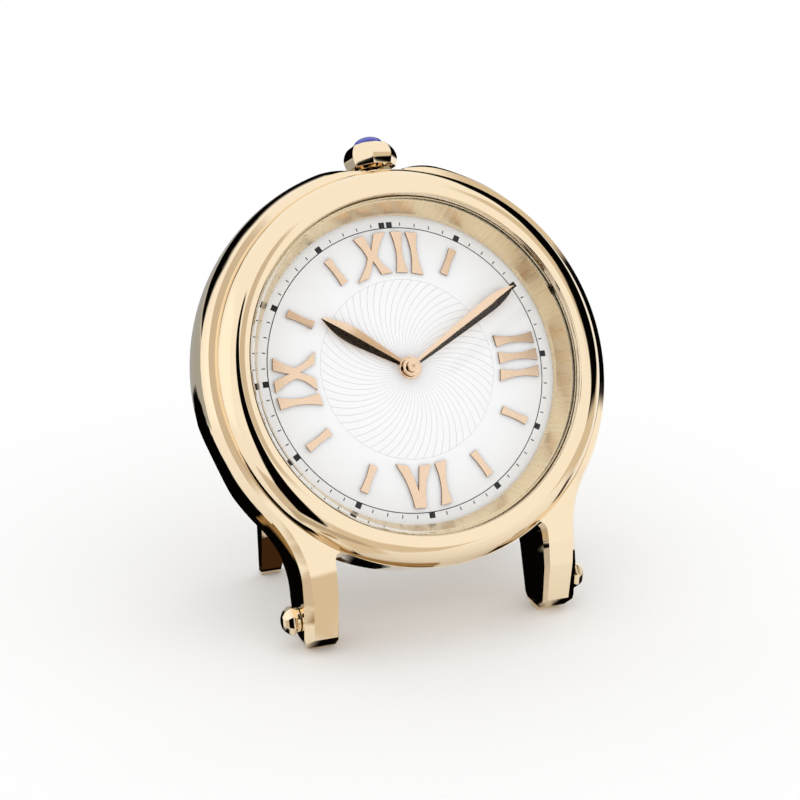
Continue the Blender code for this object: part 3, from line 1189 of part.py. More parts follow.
def make_stand(clock, dial, frame, gold):
    hinge = frame @ Vector((0, HINGE_UP, -HINGE_LOW))
    axis = make_empty("stand_axis", clock, hinge, (STAND_SPLAY, 0, 0))
    to_local = axis.matrix_basis.inverted()
    length = hinge.z / cos(STAND_SPLAY)
    spare = length + STAND_THICKNESS
    plate = prism(stand_outline(length, spare), -STAND_THICKNESS / 2, STAND_THICKNESS / 2)
    along_axis(plate, Matrix.Rotation(pi / 2, 4, "X"))
    cut_below(plate, to_local @ Vector((0, 0, 0)), to_local.to_3x3() @ Vector((0, 0, -1)))
    # The back of each foot is ground thinner towards the table.
    foot_back = Vector((0, STAND_FOOT_THICKNESS - STAND_THICKNESS / 2, -length))
    taper = atan((STAND_THICKNESS - STAND_FOOT_THICKNESS) / STAND_TAPER)
    cut_below(plate, foot_back, Vector((0, cos(taper), -sin(taper))))
    stand = place("back_stand", plate, axis, gold)

    barrel = rod(BARREL_RADIUS, -BARREL_LENGTH / 2, BARREL_LENGTH / 2)
    along_axis(barrel, Matrix.Rotation(pi / 2, 4, "Y"))
    add_to(stand, "stand_barrel", barrel, axis)
    # The stop is a heel above the pin, which lies on the bracket when the stand is open.
    half = BARREL_LENGTH / 2
    stop_high = BRACKET_LOW - SEAT_GAP
    stop = block((-half, HINGE_UP, stop_high - STOP_THICKNESS), (half, HINGE_UP + STOP_RISE, stop_high))
    add_to(stand, "stand_stop", stop, dial)
    hole = rod(PIN_RADIUS + GAP, -half - OVERRUN, half + OVERRUN)
    along_axis(hole, Matrix.Rotation(pi / 2, 4, "Y"))
    combine(stand, place("barrel_hole_cutter", hole, axis), "DIFFERENCE")


def middle_shift():
    # Sets the middle of the clock's depth on Y = 0. The bezel is foremost and the crown hindmost.
    seat = CASE_FRONT + SEAT_GAP
    front = sin(LEAN) * BEZEL_CREST_RADIUS + cos(LEAN) * seat
    front += hypot(sin(LEAN) * (BEZEL_RADIUS - BEZEL_CREST_RADIUS), cos(LEAN) * (BEZEL_HIGH - seat))
    corner = cos(CROWN_TURN)
    backs = [sin(LEAN) * (CROWN_BASE + CROWN_HEIGHT * height_share)
             + cos(LEAN) * (CROWN_LOW + CROWN_RADIUS * radius_share * corner)
             for height_share, radius_share in CROWN_SHARES]
    return (front - max(backs)) / 2


def build():
    clear_scene()
    materials = make_materials()
    gold = materials["polished_rose_gold"]
    clock = make_empty("clock")
    dial = make_empty("dial_frame", clock, (0, middle_shift(), DIAL_HEIGHT), (pi / 2 - LEAN, 0, 0))
    frame = dial.matrix_basis.copy()
    crown_axis = make_empty("crown_axis", dial, (0, 0, -CROWN_LOW), (-pi / 2, 0, 0))
    cap_spot = (0, -LEG_CAP_DOWN, -LEG_CAP_LOW)
    cap_axes = {"left": make_empty("left_cap_axis", dial, cap_spot, (0, -pi / 2, 0)),
                "right": make_empty("right_cap_axis", dial, cap_spot, (0, pi / 2, 0))}
    make_case(dial, crown_axis, cap_axes, frame, gold)
    make_bezel(dial, gold)
    make_crystal(dial, materials["crystal_glass"], materials["black_rubber"])
    make_flange_ring(dial, gold)
    make_dial(dial, materials["dial_white"])
    make_markers(dial, materials["applied_gold"])
    make_hands(dial, materials["applied_gold"])
    make_centre_wheel(dial, materials["movement_brass"])
    make_motion_work(dial, materials["movement_brass"])
    make_train(dial, materials["movement_brass"], materials["steel"])
    pinion_outer = make_plates(dial, crown_axis, materials["movement_brass"])
    tab_end = make_bridge(dial, materials["steel"])
    stator_left, coil_low, coil_y = make_stator(dial, materials["steel"], tab_end)
    make_electrics(dial, materials, stator_left, coil_low, coil_y)
    make_holder(dial, crown_axis, materials["holder_plastic"])
    make_crown(crown_axis, materials, pinion_outer)
    make_leg_caps(cap_axes, gold)
    make_back(dial, materials)
    make_bracket(dial, materials)
    make_stand(clock, dial, frame, gold)


build()
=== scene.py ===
# Watch-shaped table clock in polished rose gold: its looks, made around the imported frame.
# The frame is in metres with +Z up. Pieces are made in millimetres, most of them in the dial's own space:
# x to the right, y up to 12 o'clock, z out of the dial, with 0 on the dial's face.
import json
import math

import bmesh
import bpy
from mathutils import Matrix, Vector


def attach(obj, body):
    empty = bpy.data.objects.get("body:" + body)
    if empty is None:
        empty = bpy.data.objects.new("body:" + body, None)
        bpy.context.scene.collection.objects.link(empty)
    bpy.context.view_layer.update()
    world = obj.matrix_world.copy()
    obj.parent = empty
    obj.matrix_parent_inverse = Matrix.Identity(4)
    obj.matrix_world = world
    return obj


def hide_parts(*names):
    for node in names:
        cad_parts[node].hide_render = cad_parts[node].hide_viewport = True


mm = 0.001
seatGap = 0.1  # between pieces that seat on each other, in mm
play = 0.3  # between pieces that move on each other, in mm
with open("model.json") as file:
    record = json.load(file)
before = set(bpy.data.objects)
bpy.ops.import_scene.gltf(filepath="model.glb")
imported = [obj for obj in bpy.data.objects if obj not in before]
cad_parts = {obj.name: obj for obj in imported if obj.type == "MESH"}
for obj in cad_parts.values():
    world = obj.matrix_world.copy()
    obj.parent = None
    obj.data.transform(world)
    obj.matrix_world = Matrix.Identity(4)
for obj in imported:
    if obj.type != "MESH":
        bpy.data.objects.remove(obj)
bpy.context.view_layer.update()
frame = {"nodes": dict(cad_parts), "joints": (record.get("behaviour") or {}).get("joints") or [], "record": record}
joints = {joint["name"]: joint for joint in frame["joints"]}
print("frame loaded:", len(frame["nodes"]), "nodes")

dialCentre = Vector(joints["minute_turn"]["pos_m"])
dialOut = -Vector(joints["minute_turn"]["axis"])
dialUp = Vector(joints["crown_pull"]["axis"])
dialRight = dialUp.cross(dialOut)
dialSpace = Matrix.Translation(dialCentre) @ Matrix((dialRight, dialUp, dialOut)).transposed().to_4x4()
lean = math.atan2(dialUp.y, dialUp.z)


def toLinear(hexColour):
    parts = [int(hexColour[i:i + 2], 16) / 255 for i in (1, 3, 5)]
    return tuple(c / 12.92 if c <= 0.04045 else ((c + 0.055) / 1.055) ** 2.4 for c in parts) + (1.0,)


def addNode(tree, kind, values=None, links=None, **settings):
    # values and links are keyed by the socket's name or number
    node = tree.nodes.new(kind)
    for key, value in settings.items():
        setattr(node, key, value)
    for key, value in (values or {}).items():
        node.inputs[key].default_value = value
    for key, source in (links or {}).items():
        tree.links.new(source, node.inputs[key])
    return node


def newMaterial(name, **values):
    material = bpy.data.materials.new(name)
    material.use_nodes = True
    tree = material.node_tree
    shader = tree.nodes["Principled BSDF"]
    for key, value in values.items():
        shader.inputs[key].default_value = value
    return material, tree, shader


def newObject(name, bm):
    mesh = bpy.data.meshes.new(name)
    bm.to_mesh(mesh)
    bm.free()
    thing = bpy.data.objects.new(name, mesh)
    bpy.context.scene.collection.objects.link(thing)
    return thing


def bake(piece):
    # puts the modifiers' result into the mesh
    graph = bpy.context.evaluated_depsgraph_get()
    graph.update()
    mesh = bpy.data.meshes.new_from_object(piece.evaluated_get(graph))
    mesh.name = piece.name
    piece.modifiers.clear()
    piece.data = mesh


def addPiece(name, bm, material, nodes=(), body="case", space=dialSpace, sharp=30, bevel=0, segments=2,
             joins=(), cuts=(), repeat=None, sides=None):
    # a shape in mm becomes a finished piece: softened edges, joined and cut shapes, repeats, normals, place
    bmesh.ops.remove_doubles(bm, verts=bm.verts, dist=0.0005)
    bmesh.ops.recalc_face_normals(bm, faces=bm.faces)
    piece = newObject(name, bm)
    piece.data.materials.append(material)
    if bevel:
        soften = piece.modifiers.new("edges", "BEVEL")
        soften.width = bevel
        soften.segments = segments
        soften.limit_method = "ANGLE"
        soften.angle_limit = math.radians(sharp)
    tools = []
    for operation, shapes in (("UNION", joins), ("DIFFERENCE", cuts)):
        for shape in shapes:
            bmesh.ops.recalc_face_normals(shape, faces=shape.faces)
            tool = newObject(name + ".tool", shape)
            tool.data.materials.append(material)
            step = piece.modifiers.new("shape", "BOOLEAN")
            step.operation = operation
            step.object = tool
            tools.append(tool)
    bake(piece)
    for tool in tools:
        bpy.data.objects.remove(tool)
    piece.data.shade_smooth()
    piece.data.set_sharp_from_angle(angle=math.radians(max(sharp, 35) if bevel else sharp))
    if bevel:
        weigh = piece.modifiers.new("normals", "WEIGHTED_NORMAL")
        weigh.keep_sharp = True
    if repeat:
        step = piece.modifiers.new("repeat", "NODES")
        step.node_group = ringTree
        for label, value in dict(repeat, Material=material).items():
            step[ringInputs[label]] = value
    bake(piece)
    # upright faces take the second material: on the markers, the painted shade of their sides
    if sides:
        piece.data.materials.append(sides)
        for face in piece.data.polygons:
            face.material_index = 1 if abs(face.normal.z) < 0.5 else 0
    piece.data.transform(space @ Matrix.Scale(mm, 4))
    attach(piece, body)
    if nodes:
        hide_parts(*nodes)
    return piece


def makeRingTree():
    # copies of the mesh at even angles round z, leaving out every so many
    tree = bpy.data.node_groups.new("repeatRound", "GeometryNodeTree")
    sockets = {}
    for label, kind in (("Geometry", "Geometry"), ("Count", "Int"), ("Start", "Float"), ("Step", "Float"),
                        ("Leave Out Every", "Int"), ("Material", "Material")):
        sockets[label] = tree.interface.new_socket(name=label, in_out="INPUT",
                                                   socket_type="NodeSocket" + kind)
    tree.interface.new_socket(name="Geometry", in_out="OUTPUT", socket_type="NodeSocketGeometry")
    given = addNode(tree, "NodeGroupInput").outputs
    spots = addNode(tree, "GeometryNodePoints", links={"Count": given["Count"]})
    index = addNode(tree, "GeometryNodeInputIndex").outputs["Index"]
    turn = addNode(tree, "ShaderNodeMath", links={0: index, 1: given["Step"], 2: given["Start"]},
                   operation="MULTIPLY_ADD")
    angles = addNode(tree, "ShaderNodeCombineXYZ", links={"Z": turn.outputs[0]})
    left = addNode(tree, "ShaderNodeMath", links={0: index, 1: given["Leave Out Every"]}, operation="MODULO")
    kept = addNode(tree, "ShaderNodeMath", {1: 0.5}, {0: left.outputs[0]}, operation="GREATER_THAN")
    whole = addNode(tree, "ShaderNodeMath", {1: 0.5}, {0: given["Leave Out Every"]}, operation="LESS_THAN")
    chosen = addNode(tree, "ShaderNodeMath", links={0: kept.outputs[0], 1: whole.outputs[0]},
                     operation="MAXIMUM")
    copies = addNode(tree, "GeometryNodeInstanceOnPoints",
                     links={"Points": spots.outputs[0], "Instance": given["Geometry"],
                            "Selection": chosen.outputs[0], "Rotation": angles.outputs[0]})
    real = addNode(tree, "GeometryNodeRealizeInstances", links={"Geometry": copies.outputs[0]})
    painted = addNode(tree, "GeometryNodeSetMaterial",
                      links={"Geometry": real.outputs[0], "Material": given["Material"]})
    addNode(tree, "NodeGroupOutput", links={"Geometry": painted.outputs[0]})
    return tree, {label: socket.identifier for label, socket in sockets.items()}


ringTree, ringInputs = makeRingTree()


def around(count, first, step, leaveOut=0):
    # clock angles in degrees, from 12 o'clock
    return {"Count": count, "Start": -math.radians(first), "Step": -math.radians(step),
            "Leave Out Every": leaveOut}


def lathe(profile, segments=256):
    # a closed profile of (radius, height) turned round z; points on the axis become poles
    bm = bmesh.new()
    rings = []
    for radius, height in profile:
        if radius < 1e-6:
            rings.append([bm.verts.new((0, 0, height))])
        else:
            rings.append([bm.verts.new((radius * math.cos(2 * math.pi * i / segments),
                                        radius * math.sin(2 * math.pi * i / segments), height))
                          for i in range(segments)])
    for lower, upper in zip(rings, rings[1:] + rings[:1]):
        if len(lower) == 1 and len(upper) == 1:
            continue
        for i in range(segments):
            j = (i + 1) % segments
            corners = [lower[i % len(lower)], lower[j % len(lower)], upper[j % len(upper)],
                       upper[i % len(upper)]]
            bm.faces.new([c for k, c in enumerate(corners) if c not in corners[:k]])
    return bm


def loft(rings):
    # rings of equal counts, joined side to side, with both ends closed
    bm = bmesh.new()
    loops = [[bm.verts.new(point) for point in ring] for ring in rings]
    for lower, upper in zip(loops, loops[1:]):
        for i in range(len(lower)):
            j = (i + 1) % len(lower)
            bm.faces.new((lower[i], lower[j], upper[j], upper[i]))
    bm.faces.new(loops[0])
    bm.faces.new(loops[-1])
    return bm


def slab(outline, low, high):
    return loft([[(x, y, low) for x, y in outline], [(x, y, high) for x, y in outline]])


def box(low, high):
    (x0, y0, z0), (x1, y1, z1) = low, high
    return slab(((x0, y0), (x1, y0), (x1, y1), (x0, y1)), z0, z1)


def rod(radius, low, high, segments=48, place=None):
    bm = lathe([(0, low), (radius, low), (radius, high), (0, high)], segments)
    if place is not None:
        bm.transform(place)
    return bm


def tube(inner, outer, low, high, segments=256):
    return lathe([(inner, low), (outer, low), (outer, high), (inner, high)], segments)


def arc(middle, radii, start, end, steps):
    # points on an ellipse, angles in degrees
    points = []
    for i in range(steps + 1):
        angle = math.radians(start + (end - start) * i / steps)
        points.append((middle[0] + radii[0] * math.cos(angle), middle[1] + radii[1] * math.sin(angle)))
    return points


def smoothLine(points, steps):
    # a curve through the points, with straight ends
    padded = [points[0]] + list(points) + [points[-1]]
    line = []
    for a, b, c, d in zip(padded, padded[1:], padded[2:], padded[3:]):
        for i in range(steps):
            t = i / steps
            line.append(tuple(0.5 * (2 * q + (r - p) * t + (2 * p - 5 * q + 4 * r - s) * t ** 2
                                     + (3 * q - p - 3 * r + s) * t ** 3) for p, q, r, s in zip(a, b, c, d)))
    return line + [tuple(points[-1])]


def cutBelow(bm, point, normal):
    # takes away what lies beyond a plane and closes the cut
    bmesh.ops.bisect_plane(bm, geom=bm.verts[:] + bm.edges[:] + bm.faces[:], plane_co=point, plane_no=normal,
                           clear_outer=True)
    bmesh.ops.holes_fill(bm, edges=[edge for edge in bm.edges if edge.is_boundary])


def rescale(space, factor):
    # the same place with its distances in another unit
    return Matrix.Translation(space.translation * factor) @ space.to_3x3().to_4x4()


# the camera stands at the photograph's viewing angle
camera = dict(place=(-0.10206, -0.26597, 0.13543), tilt=71.512, swing=-20.775, lens=70.2)
cameraData = bpy.data.cameras.new("camera")
cameraData.lens = camera["lens"]
cameraData.sensor_width = 36
cameraData.clip_start = 0.01
cameraObject = bpy.data.objects.new("camera", cameraData)
cameraObject.location = camera["place"]
cameraObject.rotation_euler = (math.radians(camera["tilt"]), 0, math.radians(camera["swing"]))
bpy.context.scene.collection.objects.link(cameraObject)
bpy.context.scene.camera = cameraObject
bpy.context.scene.view_settings.view_transform = "Standard"


def grain(tree, shader, size, low, high, bump=0.0):
    # roughness that wanders from low to high over patches of size mm, with a bump of the same grain in mm
    where = addNode(tree, "ShaderNodeTexCoord")
    patches = addNode(tree, "ShaderNodeTexNoise", {"Scale": 1 / (size * mm), "Detail": 3.0},
                      {"Vector": where.outputs["Object"]})
    spread = addNode(tree, "ShaderNodeMapRange",
                     {"From Min": 0.3, "From Max": 0.7, "To Min": low, "To Max": high},
                     {"Value": patches.outputs["Fac"]})
    tree.links.new(spread.outputs["Result"], shader.inputs["Roughness"])
    if bump:
        relief = addNode(tree, "ShaderNodeBump", {"Strength": 1.0, "Distance": bump * mm},
                         {"Height": patches.outputs["Fac"]})
        tree.links.new(relief.outputs["Normal"], shader.inputs["Normal"])


def makeFinish(name, colour, size, low, high, bump=0.0, **values):
    # one colour with the grain that its making leaves; further values go by the shader's socket names
    material, tree, shader = newMaterial(name, **{"Base Color": toLinear(colour)}, **values)
    grain(tree, shader, size, low, high, bump)
    return material


def makeMetal(name, colour, size, low, high, bump=0.0):
    return makeFinish(name, colour, size, low, high, bump, Metallic=1.0)


# the sloping ring's satin: streaks of two tones that run up its wall, their pitch in degrees round the dial
satin = dict(dark="#EACFA2", light="#FAE6C0", low=0.25, high=0.31, pitch=1.5)


def makeSatin():
    s = satin
    material, tree, shader = newMaterial("satinRoseGold", **{"Metallic": 1.0})
    toDial = dialSpace.inverted()
    where = addNode(tree, "ShaderNodeTexCoord")
    turned = addNode(tree, "ShaderNodeMapping",
                     {"Location": toDial.translation, "Rotation": toDial.to_euler()},
                     {"Vector": where.outputs["Object"]})
    parts = addNode(tree, "ShaderNodeSeparateXYZ", links={"Vector": turned.outputs["Vector"]})
    clock = addNode(tree, "ShaderNodeMath", links={0: parts.outputs["X"], 1: parts.outputs["Y"]},
                    operation="ARCTAN2")
    streaks = addNode(tree, "ShaderNodeTexNoise", {"Scale": math.degrees(1) / s["pitch"], "Detail": 2.0},
                      {"W": clock.outputs[0]}, noise_dimensions="1D")
    colour = addNode(tree, "ShaderNodeMix", {6: toLinear(s["dark"]), 7: toLinear(s["light"])},
                     {0: streaks.outputs["Fac"]}, data_type="RGBA")
    gloss = addNode(tree, "ShaderNodeMapRange", {"To Min": s["low"], "To Max": s["high"]},
                    {"Value": streaks.outputs["Fac"]})
    tree.links.new(colour.outputs[2], shader.inputs["Base Color"])
    tree.links.new(gloss.outputs["Result"], shader.inputs["Roughness"])
    return material


def makeBlueStone():
    material, tree, shader = newMaterial("blueCabochon", **{"IOR": 1.77, "Specular IOR Level": 0.5})
    grain(tree, shader, 1.0, 0.02, 0.05)
    # painted light: the colour turns lighter where the surface turns away from the camera
    rim = addNode(tree, "ShaderNodeLayerWeight", {"Blend": 0.35})
    depth = addNode(tree, "ShaderNodeMix", {6: toLinear("#1A1F9C"), 7: toLinear("#5A63C8")},
                    {0: rim.outputs["Facing"]}, data_type="RGBA")
    tree.links.new(depth.outputs[2], shader.inputs["Base Color"])
    return material


# 18 ct rose-gold plate on turned brass, mirror-polished: sharp reflections in a warm cream, a breath of haze
roseGold = makeMetal("polishedRoseGold", "#F5E1C1", 9.0, 0.02, 0.045)
# the same plate on the small markers, faces lapped flat and a little pinker and duller than the case
markerGold = makeMetal("lappedRoseGold", "#F5D5B5", 3.0, 0.16, 0.22)
# the hands: lapped facets, sharper than the markers
handGold = makeMetal("facetedRoseGold", "#F5D5B5", 4.0, 0.05, 0.08)
# the markers' upright sides: painted shade, darker and browner than their faces, standing for the dark
# surroundings that those sides mirror
paintedShadeSides = makeMetal("markerSideShade", "#7A5236", 1.0, 0.25, 0.35)
# the sloping ring, turned and left satin: faint streaks, and only a blurred image of the dial
satinGold = makeSatin()
# cut brass wheels and plates of the movement: yellow, with the faint cloud that tumbling leaves
cutBrass = makeMetal("cutBrass", "#D9B877", 2.0, 0.24, 0.34)
# ground steel of screws, stem, pin and bridge: grey, slightly streaky
groundSteel = makeMetal("groundSteel", "#C9C9CB", 0.6, 0.16, 0.26)
# nickel-plated can of the cell: pale and bright, drawn
nickelCan = makeMetal("nickelCan", "#D6D6D2", 1.5, 0.14, 0.22)
# enamelled copper wire, wound in turns of 0.06 mm that show as a fine roughness
copperWinding = makeMetal("copperWinding", "#C77B4E", 0.12, 0.3, 0.42, 0.01)
# sapphire with a coating against reflections: clear, hardly mirroring, with the haze of a wiped disc
sapphire = makeFinish("coatedSapphire", "#FDFEFF", 12.0, 0.0, 0.004,
                      **{"IOR": 1.3, "Transmission Weight": 1.0, "Specular IOR Level": 0.1})
# cut and polished blue stone: deep blue, with painted light: lighter towards its rim as the camera sees it,
# standing for light that comes through the rim
blueStone = makeBlueStone()
# nitrile rubber, moulded: matt black with a fine grain
nitrile = makeFinish("nitrileRubber", "#141414", 0.25, 0.5, 0.7, 0.01)
# pad-printed black ink: a blue-black with a slight gloss that comes and goes with the film's thickness
printInk = makeFinish("padPrintInk", "#0C0E16", 0.5, 0.4, 0.55, **{"Specular IOR Level": 0.1})
# acetal of the movement holder, moulded: milky, with faint flow marks
acetal = makeFinish("mouldedAcetal", "#E4E2DC", 2.5, 0.42, 0.55,
                    **{"Subsurface Weight": 0.1, "Subsurface Scale": 0.5 * mm})
# solder mask over glass-fibre board: green gloss with the weave's 0.5 mm pitch showing through
solderMask = makeFinish("solderMask", "#1E5A33", 0.5, 0.28, 0.4, 0.008)
# white lacquer over a stamped brass blank: satin, almost white, with a trace of orange peel
dialLacquer = makeFinish("whiteDialLacquer", "#FFFFFF", 1.5, 0.34, 0.42, 0.0008,
                         **{"Specular IOR Level": 0.2})
# the stamped rays of the dial's middle and the ring at their edge: painted shade, a grey that stands for the shade
# along the stamped lines, on ridges of the same white lacquer
paintedShadeLacquer = makeFinish("paintedShadeLacquer", "#E3E3E6", 0.8, 0.36, 0.46, **{"Specular IOR Level": 0.2})
print("materials made")

# screws: the cover's four pass through the case's ledge, and two more hold the hinge
screw = dict(count=4, first=45, circle=34.7, bore=0.8, shank=0.5, head=1.1, headHigh=0.5, headRound=0.12,
             slotWide=0.36, slotDeep=0.25, slotReach=2.2, coverTip=-6.6, bracketBite=0.35)
# case body: ring, shoulders beside the crown, legs; bores are (radius, from, to) along the crown and knobs
case = dict(radius=41.2, front=3.9, depth=13.1, bevelWide=1.0, bevelDeep=1.8, frontBarrel=0.9,
            backBarrel=1.3, widest=-2.8, chamfer=0.4, neck=37.7, cavity=35.7, opening=32.3, recess=37.2,
            recessDeep=1.24, ledge=1.4, shoulderStart=6.0, shoulderEnd=20.0,
            shoulder=((0, 0), (0.04, 0.42), (0.14, 0.58), (0.29, 0.74), (0.5, 0.91), (0.75, 1), (1, 1)),
            legOuter=27.4, legWide=6.6, archBevel=0.45, legBarrel=0.3, legBevel=1.2, footBevel=1.9,
            flow=20.5, fillet=1.7, straight=2.3, slopeLong=5.2, slopeBlend=1.5, slopeDrop=1.6,
            lowerSlope=32, heelSlope=8, lift=5.6, footBack=8.3, footFlat=2.2, toeSlope=44, heelGround=20,
            heelRun=2.0, heelBack=38, footCorner=1.7, cornerSlopes=(45, 70), cornerStep=1.0,
            stemDeep=1.9, crownBore=(2.7, 34.7, 38.7), capDrop=2.2, capDeep=4.7, capBore=(1.2, 23.7, 28.4),
            blendRow=0.25, legRow=1.2)
dialHeight = case["radius"] + case["lift"]
flowEnd = math.sqrt((case["radius"] + case["flow"]) ** 2 - (case["legOuter"] + case["flow"]) ** 2)
legBreak = flowEnd + case["straight"]
slopeStart = legBreak - case["slopeLong"]
legEnd = dialHeight / math.cos(lean)
legInner = case["legOuter"] - case["legWide"]
caseBack = case["front"] - case["depth"]
# spaces in mm whose z runs outwards along the crown's stem and along each leg's knob
crownSpace = Matrix.Translation((0, 0, -case["stemDeep"])) @ Matrix.Rotation(-math.pi / 2, 4, "X")
capPlace = Matrix.Translation((0, -legBreak - case["capDrop"], -case["capDeep"]))
capSpaces = {side: capPlace @ Matrix.Rotation(turn * math.pi / 2, 4, "Y")
             for side, turn in (("left", -1), ("right", 1))}


def screwPlaces():
    for i in range(screw["count"]):
        angle = math.radians(screw["first"] + i * 360 / screw["count"])
        yield Matrix.Translation((screw["circle"] * math.sin(angle), screw["circle"] * math.cos(angle), 0))


def caseOutline(inset, legInset, archInset):
    # right half, from 12 o'clock down to 6 o'clock
    c = case
    radius = c["radius"] - inset
    points = [(0.0, c["neck"])]
    for share, fullness in smoothLine(c["shoulder"], 6):
        angle = math.radians(c["shoulderStart"] + share * (c["shoulderEnd"] - c["shoulderStart"]))
        reach = c["neck"] + min(1.0, fullness) * (radius - c["neck"])
        points.append((reach * math.sin(angle), reach * math.cos(angle)))
    side = c["legOuter"] - legInset
    flow = c["flow"] + inset
    flowX = side + flow
    flowY = -math.sqrt((radius + flow) ** 2 - flowX ** 2)
    flowAngle = math.degrees(math.pi / 2 + math.atan(-flowY / flowX))
    points += arc((0, 0), (radius, radius), 90 - c["shoulderEnd"], 90 - flowAngle, 110)[1:]
    points += arc((flowX, flowY), (flow, flow), 270 - flowAngle, 180, 24)[1:]
    inner = legInner + archInset
    points += [(side, -legEnd), (inner, -legEnd)]
    fillet = c["fillet"] + archInset
    filletX = legInner - c["fillet"]
    filletY = -math.sqrt((c["neck"] + c["fillet"]) ** 2 - filletX ** 2)
    turn = math.degrees(math.atan(-filletY / filletX))
    points += arc((filletX, filletY), (fillet, fillet), 0, turn, 14)
    points += arc((0, 0), (c["neck"] - archInset,) * 2, -turn, -90, 40)[1:]
    return points


def caseRings():
    # outlines from the back to the front: barrel-shaped sides, then the front's bevel
    c = case
    backDeep = c["widest"] - caseBack - c["chamfer"]
    bevelStart = c["front"] - c["bevelDeep"]
    stations = [(caseBack, c["backBarrel"] + c["chamfer"], c["legBarrel"] + c["chamfer"], 0)]
    for i in range(10):
        share = 1 - i / 10
        stations.append((c["widest"] - share * backDeep, c["backBarrel"] * share ** 2,
                         c["legBarrel"] * share ** 2, 0))
    for i in range(7):
        share = i / 6
        stations.append((c["widest"] + share * (bevelStart - c["widest"]), c["frontBarrel"] * share ** 2,
                         0, 0))
    stations.append((c["front"], c["frontBarrel"] + c["bevelWide"], c["legBevel"], c["archBevel"]))
    rings = []
    for height, *insets in stations:
        half = caseOutline(*insets)
        rings.append([(x, y, height) for x, y in half + [(-x, y) for x, y in reversed(half[1:-1])]])
    return rings


def legFront(y):
    # how far out the front face lies: it leans back down the leg, and more below the leg's break
    c = case
    slope = c["slopeDrop"] / c["slopeLong"]
    along = -y - (slopeStart - c["slopeBlend"])
    if along <= 0:
        return c["front"]
    if along <= 2 * c["slopeBlend"]:
        return c["front"] - slope * along ** 2 / (4 * c["slopeBlend"])
    if -y <= legBreak:
        return c["front"] - slope * (-y - slopeStart)
    return c["front"] - c["slopeDrop"] - (-y - legBreak) * math.tan(math.radians(c["lowerSlope"]))


def footPlanes():
    # the feet are cut by planes given in the world, in mm: sole, toe, heel, back and the outer corners
    c = case
    reach = dialHeight * math.tan(lean) - c["footBack"]
    middle = Vector((0, dialCentre.y / mm - reach, 0))
    toe = middle - Vector((0, c["footFlat"] / 2, 0))
    heel = middle + Vector((0, c["footFlat"] / 2, 0))
    back = heel + Vector((0, c["heelRun"], c["heelRun"] * math.tan(math.radians(c["heelGround"]))))
    planes = [(middle, Vector((0, 0, -1)))]
    for point, degrees in ((toe, c["toeSlope"]), (heel, -c["heelGround"]), (back, -c["heelBack"])):
        slope = math.radians(degrees)
        planes.append((point, Vector((0, -math.sin(slope), -math.cos(slope)))))
    for side in (-1, 1):
        corner = Vector((side * (c["legOuter"] - c["footCorner"]), 0, 0))
        for degrees in c["cornerSlopes"]:
            slope = math.radians(degrees)
            planes.append((corner.copy(), Vector((side * math.sin(slope), 0, -math.cos(slope)))))
            step = Vector((side * math.cos(slope), 0, math.sin(slope)))
            corner += c["cornerStep"] * step
    return planes


def caseCuts():
    # the bowl with its ledge, and the bores for crown, knobs and cover screws
    c = case
    ledgeBack = caseBack + c["recessDeep"]
    ledgeFront = ledgeBack + c["ledge"]
    cuts = [lathe([(0, c["front"] + 1), (c["cavity"], c["front"] + 1), (c["cavity"], ledgeFront),
                   (c["opening"], ledgeFront), (c["opening"], ledgeBack), (c["recess"], ledgeBack),
                   (c["recess"], caseBack - 1), (0, caseBack - 1)]),
            rod(*c["crownBore"], place=crownSpace)]
    cuts += [rod(*c["capBore"], 32, place=place) for place in capSpaces.values()]
    cuts += [rod(screw["bore"], ledgeBack - 1, ledgeFront + 1, 24, place=place) for place in screwPlaces()]
    return cuts


def makeCaseShell():
    c = case
    bm = loft(caseRings())
    # rows of edges, close where the leg's front bends and wider down to the foot
    rows = [slopeStart - c["slopeBlend"] + c["blendRow"] * i for i in range(12)]
    rows += [legBreak + c["legRow"] * i for i in range(9)]
    for row in rows:
        bmesh.ops.bisect_plane(bm, geom=bm.verts[:] + bm.edges[:] + bm.faces[:], plane_co=(0, -row, 0),
                               plane_no=(0, 1, 0))
    for vert in bm.verts:
        x, y, z = vert.co
        share = (z - caseBack) / c["depth"]
        if share > 0.999 and abs(abs(x) - c["legOuter"] + c["legBevel"]) < 0.01 and -y > flowEnd:
            # the leg's outer bevel grows wider towards the foot
            widen = (c["footBevel"] - c["legBevel"]) / (legEnd - slopeStart)
            wide = widen * (-y - slopeStart) if -y > legBreak else (
                widen * c["slopeLong"] * (-y - flowEnd) / (legBreak - flowEnd))
            vert.co.x -= math.copysign(wide, x)
        low = caseBack - max(0.0, -y - slopeStart) * math.tan(math.radians(c["heelSlope"]))
        vert.co.z = low + share * (legFront(y) - low)
    toDial = rescale(dialSpace.inverted(), 1 / mm)
    for point, normal in footPlanes():
        cutBelow(bm, toDial @ point, toDial.to_3x3() @ normal)
    addPiece("caseShell", bm, roseGold, ["case_body"], sharp=11, cuts=caseCuts())


makeCaseShell()
print("case made")

# bezel, crystal with its gasket, and the sloping ring under it
bezel = dict(radius=38.1, crest=34.5, inner=32.3, high=8.3, dropOut=5.2, powerOut=1.7, dropIn=1.0,
             powerIn=2.6, lip=6.8, lipEdge=0.4, bore=33.3, skirt=1.0, seat=4.0, skirtRadius=35.4,
             footRound=0.45, spare=0.1)
crystal = dict(radius=32.0, low=5.9, high=7.2, chamfer=0.4)
gasket = dict(inner=32.5, outer=33.2, tall=0.9, edge=0.1)
flange = dict(low=29.9, wall=1.9, high=31.4, top=5.6, rim=0.4, outer=32.9, step=5.0, foot=0.3)
fineRound = 360  # segments of the rings that mirror or refract each other's edges


